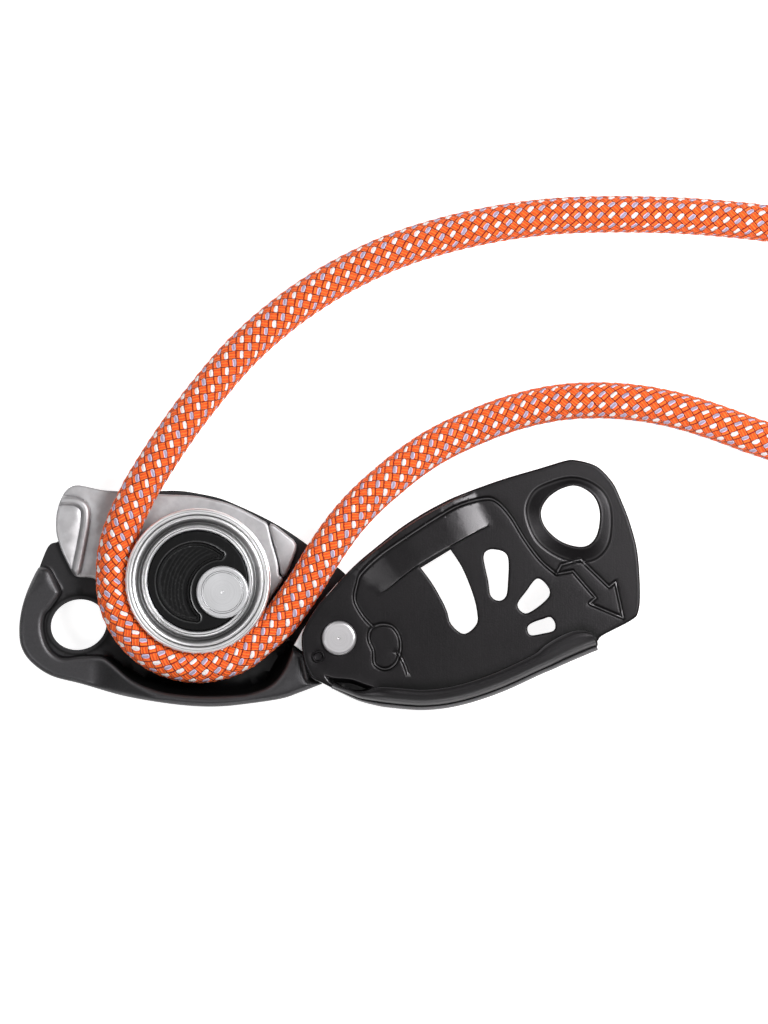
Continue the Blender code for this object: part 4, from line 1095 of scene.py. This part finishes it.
def fixed_plate():
    body, rim = smooth_loop(BODY_OUTLINE), smooth_loop(RIM_OUTLINE, 0.7)
    eye = ellipse(EYE, 7.35, 6.5, 18)
    small = [circle(AXLE, 3.7, 40), arc_slot(AXLE, 9.0, 1.7, 94.8, 156.8), circle(PIVOT, 2.7, 40)]

    def wall(p, low, high):
        return low + (high - low) * ease((p[:, 0] - RAMP_START) / RAMP_LENGTH)

    def top(p):
        in_rim, d, hole = inside(p, rim), to_line(p, rim), to_line(p, eye)
        web = WEB_TOP - np.where(in_rim, 0, drop(to_line(p, body), 0.5)) - drop(hole, 0.7)
        web -= 0.3 * bell(hole, 0.16, 1.15)
        high = wall(p, RIM_HIGH, WALL_HIGH)
        soft = 1.3 + 1.2 * ease((p[:, 1] + 4) / 6) + 0.5 * ease((p[:, 0] + 60) / 15)
        crest = high - drop(d, soft)
        foot = 0.35 + 0.22 * (high - RIM_HIGH)
        flank = WEB_TOP + (high - soft - WEB_TOP) * np.clip(1 - d / foot, 0, 1) ** 1.6
        return np.where(in_rim, crest, np.maximum(web, flank))

    def bottom(p):
        in_rim, d = inside(p, rim), to_line(p, rim)
        low = wall(p, RIM_LOW, 0.0) + drop(d, 0.9)
        web = WEB_BOTTOM + drop(to_line(p, body), 0.4) + drop(to_line(p, eye), 0.5)
        return np.where(in_rim, low, web)

    # Painted light on the body: painted shade in the groove round the eye with a lighter band at its edge,
    # a painted highlight along the rim's rounded edge, and painted shade over the lower web outside the
    # rim, deepest in the pocket below the wheel inside the tall wall.
    def marks(p):
        hole, d, in_rim = to_line(p, eye), to_line(p, rim), inside(p, rim)
        value = -0.9 * bell(hole, 0.2, 1.15) + 0.3 * bell(hole, 0.3)
        value += np.where(in_rim, 0.18 * bell(d, 0.25, 0.7), 0)
        pocket_shade = ease((p[:, 0] + 60) / 5) * ease((-14 - p[:, 1]) / 3)
        outer_wall = (d < 0.05) & ~inside(p, body)
        value -= np.where(in_rim | outer_wall, 0, 0.5 + 0.45 * pocket_shade)
        return np.clip(value, -1, 1)

    guides = [(rim, (0.1, 0.3, 0.6, 1.0, 1.5, -0.12, -0.5, -1.2, -2.0), True),
              (body, (0.06, 0.2, 0.45), True),
              (eye, (-0.08, -0.25, -0.5, -0.8, -1.0, -1.15, -1.3), True)]  # fmt: skip
    mesh = relief_plate(
        "fixed_plate", [body, rim], [eye, *small], guides, top, bottom, 1.5, marks
    )
    piece("fixed_plate", mesh, 42, "dark_body", "dark_body", "fixed_side", "fixed_side_plate")


def liner():
    outline, bead = smooth_loop(LINER_OUTLINE), spline_run(BEAD_LINE, 0.5)
    hole = circle(AXLE, 12.0, 72)

    def top(p):
        e = to_line(p, bead, False)
        z = LINER_TOP + 0.95 * np.sqrt(np.maximum(1 - (e / 1.15) ** 2, 0))
        z -= 0.18 * bell(e, 0.2, 1.3)
        return z - drop(to_line(p, outline), 0.45) - drop(to_line(p, hole), 0.3)

    def bottom(p):
        return LINER_LOW + drop(to_line(p, outline), 0.2)

    guides = [(outline, (0.06, 0.2, 0.45, 0.9), True), (hole, (-0.1, -0.3), True),
              (bead, (0, 0.35, -0.35, 0.7, -0.7, 0.95, -0.95, 1.1, -1.1, 1.3, -1.3, 1.6, -1.6),
               False)]  # fmt: skip
    mesh = relief_plate("liner", [outline], [hole], guides, top, bottom, 2.0)
    piece("liner", mesh, 40, "steel_plate", "steel_plate", "fixed_side", "friction_liner")


def corner_piece():
    outline = [tuple(q) for q in beside(smooth_loop(CORNER_OUTLINE, 0.6), -0.22)]

    def top(p):
        return 13.3 - drop(to_line(p, outline), 0.7)

    def bottom(p):
        return np.full(len(p), LINER_LOW)

    guides = [(outline, (0.08, 0.25, 0.5, 0.75), True)]
    mesh = relief_plate("corner_piece", [outline], [], guides, top, bottom, 1.2)
    piece("corner_piece", mesh, 40, "steel_plate", "steel_plate", "fixed_side", "corner_pad")


# ---------------------------------------------------------------- the pulley, cam and axle

WHEEL_BOTTOM, WHEEL_R = 13.6, 18.83
GROOVE_R, GROOVE_DEPTH, GROOVE_HALF = 16.65, 1.9, 5.0
AXLE_HEAD = 6.83
CAM_RING = 0.95  # from one fine ring of the cam's recess to the next


def groove():
    """The rope groove's section, from the lower flange up to the upper one."""
    return [
        (GROOVE_R + GROOVE_DEPTH * (k / 10) ** 2, ROPE_Z - GROOVE_HALF * k / 10, 0)
        for k in range(10, -11, -1)
    ]


# Each turned piece: its centre, its section as (radius, height, own rounding), its rounding, how
# many sides it has, its paint and slot, its body and the CAD node that it stands for
TURNED = {
    "sheave": (
        PULLEY,
        [(14.1, 13.6), (18.4, 13.6), (WHEEL_R, 14.0), (WHEEL_R, 14.55), *groove(),
         (WHEEL_R, 24.65), (WHEEL_R, 25.1, 0.25), (18.5, 25.6, 0.25), (17.4, 25.6, 0.15),
         (17.3, 25.1, 0.1), (17.0, 25.1, 0.1), (16.9, 25.5, 0.12), (16.3, 25.4, 0.4),
         (15.6, 23.9, 0.5), (15.0, 23.7, 0.4), (14.5, 25.0, 0.25), (14.1, 25.3, 0.12),
         (13.95, 25.0, 0.08), (13.4, 25.0, 0.1), (13.35, 24.55, 0.1), (14.1, 24.5, 0.05)],
        0.1, 192, "pulley_alloy", "pulley_alloy", "wheel", "wheel_sheave",
    ),
    "axle": (
        AXLE,
        [(0, 3.85), (3.5, 3.85), (3.5, 3.95), (2.9, 3.95), (2.9, 4.65), (3.5, 4.65),
         (3.5, 25.1), (AXLE_HEAD, 25.1), (AXLE_HEAD, 25.75, 0.25), (AXLE_HEAD - 0.35, 26.02, 0.15),
         (5.62, 26.02, 0.03), (5.52, 25.88, 0.03), (5.42, 26.0, 0.03), (5.18, 26.0, 0.03),
         (5.1, 25.9, 0.03), (5.0, 25.99, 0.03), (0.5, 25.99, 0.1), (0, 25.93)],
        0.05, 144, "axle_face", "bright_steel", "fixed_side", "cam_axle",
    ),
    "rivet": (
        PIVOT,
        [(0, 6.4), (3.6, 6.4), (4.2, 7.0), (4.2, 7.8), (2.5, 7.8), (2.5, 28.8), (4.47, 28.8),
         (4.47, 29.5, 0.2), (4.2, 29.9, 0.12), (3.72, 30.1, 0.08), (0.36, 30.1, 0.05),
         (0.22, 29.95, 0.05), (0, 29.9)],
        0.06, 120, "rivet_face", "bright_steel", "fixed_side", "pivot_rivet",
    ),
    "detent": (
        DETENT,
        [(0, 26.0), (1.0, 26.0), (1.15, 26.2), (1.15, 28.75), (1.62, 28.75), (1.62, 29.0),
         (1.4, 29.2), (1.15, 29.05), (0.95, 28.55), (0, 28.5)],
        0.08, 64, "black_anodised", "black_anodised", "moving_side", "detent_pin",
    ),
}


def turned_pieces():
    for name, (centre, section, rounding, count, *looks) in TURNED.items():
        mesh = turned(name, centre, rounded(section, rounding), count)
        piece(name, mesh, 30, *looks)


def crescent(disc, disc_r, cut, cut_r, tip=2.3, step=9):
    """The part of one disc that lies outside another, with its two tips rounded."""
    apart = (Vector(cut) - Vector(disc)).length
    bearing = math.degrees(math.atan2(cut[1] - disc[1], cut[0] - disc[0]))
    along = (apart**2 + disc_r**2 - cut_r**2) / (2 * apart)
    outer = math.degrees(math.acos(along / disc_r)) + math.degrees(tip / disc_r)
    inner = math.degrees(math.acos((apart - along) / cut_r)) - math.degrees(tip / cut_r)
    rough = arc(disc, disc_r, bearing + outer, bearing + 360 - outer, step)
    rough += arc(cut, cut_r, bearing + 180 + inner, bearing + 180 - inner, step)
    return smooth_loop(rough, 0.4)


def cam():
    """The cam's disc, with a crescent recess whose floor steps down in rings about the axle."""
    top_z, radius = 24.9, 13.0
    outline = circle(PULLEY, radius, 160)
    bore = circle(AXLE, 4.95, 64)
    recess = crescent((-34.5, 0.7), 10.5, AXLE, 8.3)

    def top(p):
        z = top_z - drop(to_line(p, outline), 0.3) - drop(to_line(p, bore), 0.1)
        d = to_line(p, recess)
        into = inside(p, recess)
        away = np.hypot(p[:, 0] - AXLE[0], p[:, 1] - AXLE[1])
        rings = 0.05 * np.cos(2 * np.pi * away / CAM_RING) * ease((d - 1.4) / 0.8)
        sink = 0.55 * ease(d / 0.35) + 1.15 * ease((d - 0.75) / 0.35)
        z -= np.where(into, sink + rings, 0)
        return z + 0.1 * bell(d, 0.16)

    def bottom(p):
        return np.full(len(p), WHEEL_BOTTOM)

    # Painted highlights: a light line along the recess's edge and another along the step inside it; on the
    # recess floor the tone rises and falls with the fine rings.
    def marks(p):
        d, into = to_line(p, recess), inside(p, recess)
        away = np.hypot(p[:, 0] - AXLE[0], p[:, 1] - AXLE[1])
        value = 0.75 * bell(d, 0.14)
        value += np.where(into, 0.75 * bell(d, 0.14, 0.95), 0)
        fine = 0.09 * np.cos(2 * np.pi * away / CAM_RING)
        return value + np.where(into, fine * ease((d - 1.4) / 0.8), 0)

    rows = (0, 0.12, 0.25, 0.4, 0.6, 0.75, 0.9, 1.1, -0.15, -0.35)
    guides = [(outline, (0.06, 0.18, 0.36), True), (bore, (-0.12,), True), (recess, rows, True)]
    guides += [(circle(AXLE, CAM_RING * k / 2, 180), (0.01,), True) for k in range(18, 34)]
    mesh = relief_plate("cam_face", [outline], [bore], guides, top, bottom, 0.4, marks)
    piece("cam_face", mesh, 35, "cam_black", "black_anodised", "cam", "cam_disc")


# ---------------------------------------------------------------- CAD nodes with finer edges


def refined(node, width):
    """A copy of a CAD solid with its facets smoothed and its edges rounded."""
    source = NODES[node]
    mesh = source.data.copy()
    edit = bmesh.new()
    edit.from_mesh(mesh)
    bmesh.ops.remove_doubles(edit, verts=edit.verts, dist=1e-6)
    bmesh.ops.dissolve_limit(
        edit, angle_limit=math.radians(1.0), verts=edit.verts, edges=edit.edges
    )
    sharp = [e for e in edit.edges if e.is_manifold and e.calc_face_angle() > math.radians(40)]
    if width and sharp:
        bmesh.ops.bevel(
            edit, geom=sharp, offset=width * MM, segments=2, profile=0.5,
            affect="EDGES", clamp_overlap=True,
        )  # fmt: skip
    edit.to_mesh(mesh)
    edit.free()
    return smooth(mesh, 40)


FINER = {
    "friction_pad": 0.3, "handle_arm": 0.35, "handle_grip": 0.0, "handle_bumper": 0.3,
    "pivot_post": 0.15, "handle_hinge_pin": 0.1, "wheel_retaining_ring": 0.08,
    "axle_retaining_ring": 0.08, "cam_drive_pin": 0.1, "pad_screw_lower": 0.1,
    "pad_screw_upper": 0.1, "cam_return_spring": 0.0,
}


def dress_nodes():
    bodies = frame["record"]["behaviour"]["bodies"]
    for name, node in NODES.items():
        if node.hide_render:
            continue
        slot = node.data.materials[0].name.split(".")[0]
        if name in FINER:
            home = next(body for body, members in bodies.items() if name in members)
            # the friction pad takes the near-white pad paint, painted light against the moving plate's
            # shadow
            paint = PAINTS["pad_steel" if name == "friction_pad" else slot]
            link(name + "_fine", refined(name, FINER[name]), paint, slot, home, name)
        else:
            node.data.materials.clear()
            node.data.materials.append(PAINTS[slot])


# ---------------------------------------------------------------- stage


FLOOR_SIZE = 3000
SENSOR = 36.0


def stage():
    p = Paint("floor", Roughness=0.9, Specular_IOR_Level=0.1)
    p.finish(Base_Color=(0.6, 0.6, 0.6), Emission_Color=(1, 1, 1), Emission_Strength=0.85)
    edit = bmesh.new()
    bmesh.ops.create_grid(edit, x_segments=1, y_segments=1, size=FLOOR_SIZE)
    floor = bpy.data.objects.new("floor", mesh_from(edit, "floor"))
    floor.data.materials.append(p.material)
    bpy.context.scene.collection.objects.link(floor)
    world = bpy.data.worlds.new("studio")
    world.use_nodes = True
    tree = world.node_tree
    place = tree.nodes.new("ShaderNodeTexCoord")
    split = tree.nodes.new("ShaderNodeSeparateXYZ")
    tree.links.new(place.outputs["Generated"], split.inputs[0])
    level = tree.nodes.new("ShaderNodeMapRange")
    for key, value in {1: 0.45, 2: 0.97, 3: 0.42, 4: 1.0}.items():
        level.inputs[key].default_value = value
    tree.links.new(split.outputs["Z"], level.inputs[0])
    tree.links.new(level.outputs[0], tree.nodes["Background"].inputs["Strength"])
    bpy.context.scene.world = world


def soft_light(name, place, size, power, target=(0.0, 0.0, 0.0)):
    light = bpy.data.lights.new(name, "AREA")
    light.shape = "RECTANGLE"
    light.size, light.size_y = size
    light.energy = power
    made = bpy.data.objects.new(name, light)
    made.location = place
    made.rotation_euler = (Vector(target) - Vector(place)).to_track_quat("-Z", "Y").to_euler()
    bpy.context.scene.collection.objects.link(made)


VIEW_CENTRE = (14.35, 18.9)  # millimetres, at the middle of the picture
VIEW_HEIGHT = 266.0
DISTANCE = 3.0


def camera():
    lens = bpy.data.cameras.new("camera")
    lens.type = "PERSP"
    lens.sensor_fit = "VERTICAL"
    lens.sensor_height = SENSOR
    device_height = 0.024
    lens.lens = SENSOR * (DISTANCE - device_height) / (VIEW_HEIGHT * MM)
    lens.clip_start, lens.clip_end = 0.05, 20.0
    made = bpy.data.objects.new("camera", lens)
    made.location = (VIEW_CENTRE[0] * MM, VIEW_CENTRE[1] * MM, DISTANCE)
    bpy.context.scene.collection.objects.link(made)
    bpy.context.scene.camera = made


def lights():
    soft_light("key", (-0.7, 0.7, 0.8), (0.7, 0.7), 3.6)
    soft_light("fill", (0.6, 0.34, 0.85), (0.4, 0.4), 3)
    soft_light("low", (0.15, -0.9, 0.4), (0.8, 0.2), 2)
    soft_light("side", (0.25, 0.1, 0.5), (0.2, 0.2), 3.0, (0.09, 0.0, 0.02))
    soft_light("ramp", (-0.38, -0.22, 0.85), (0.2, 0.2), 2)


# ---------------------------------------------------------------- all together

bpy.context.scene.view_settings.view_transform = "Standard"
camera()
stage()
lights()
build_rope()
moving_plate()
fixed_plate()
liner()
corner_piece()
turned_pieces()
cam()
dress_nodes()
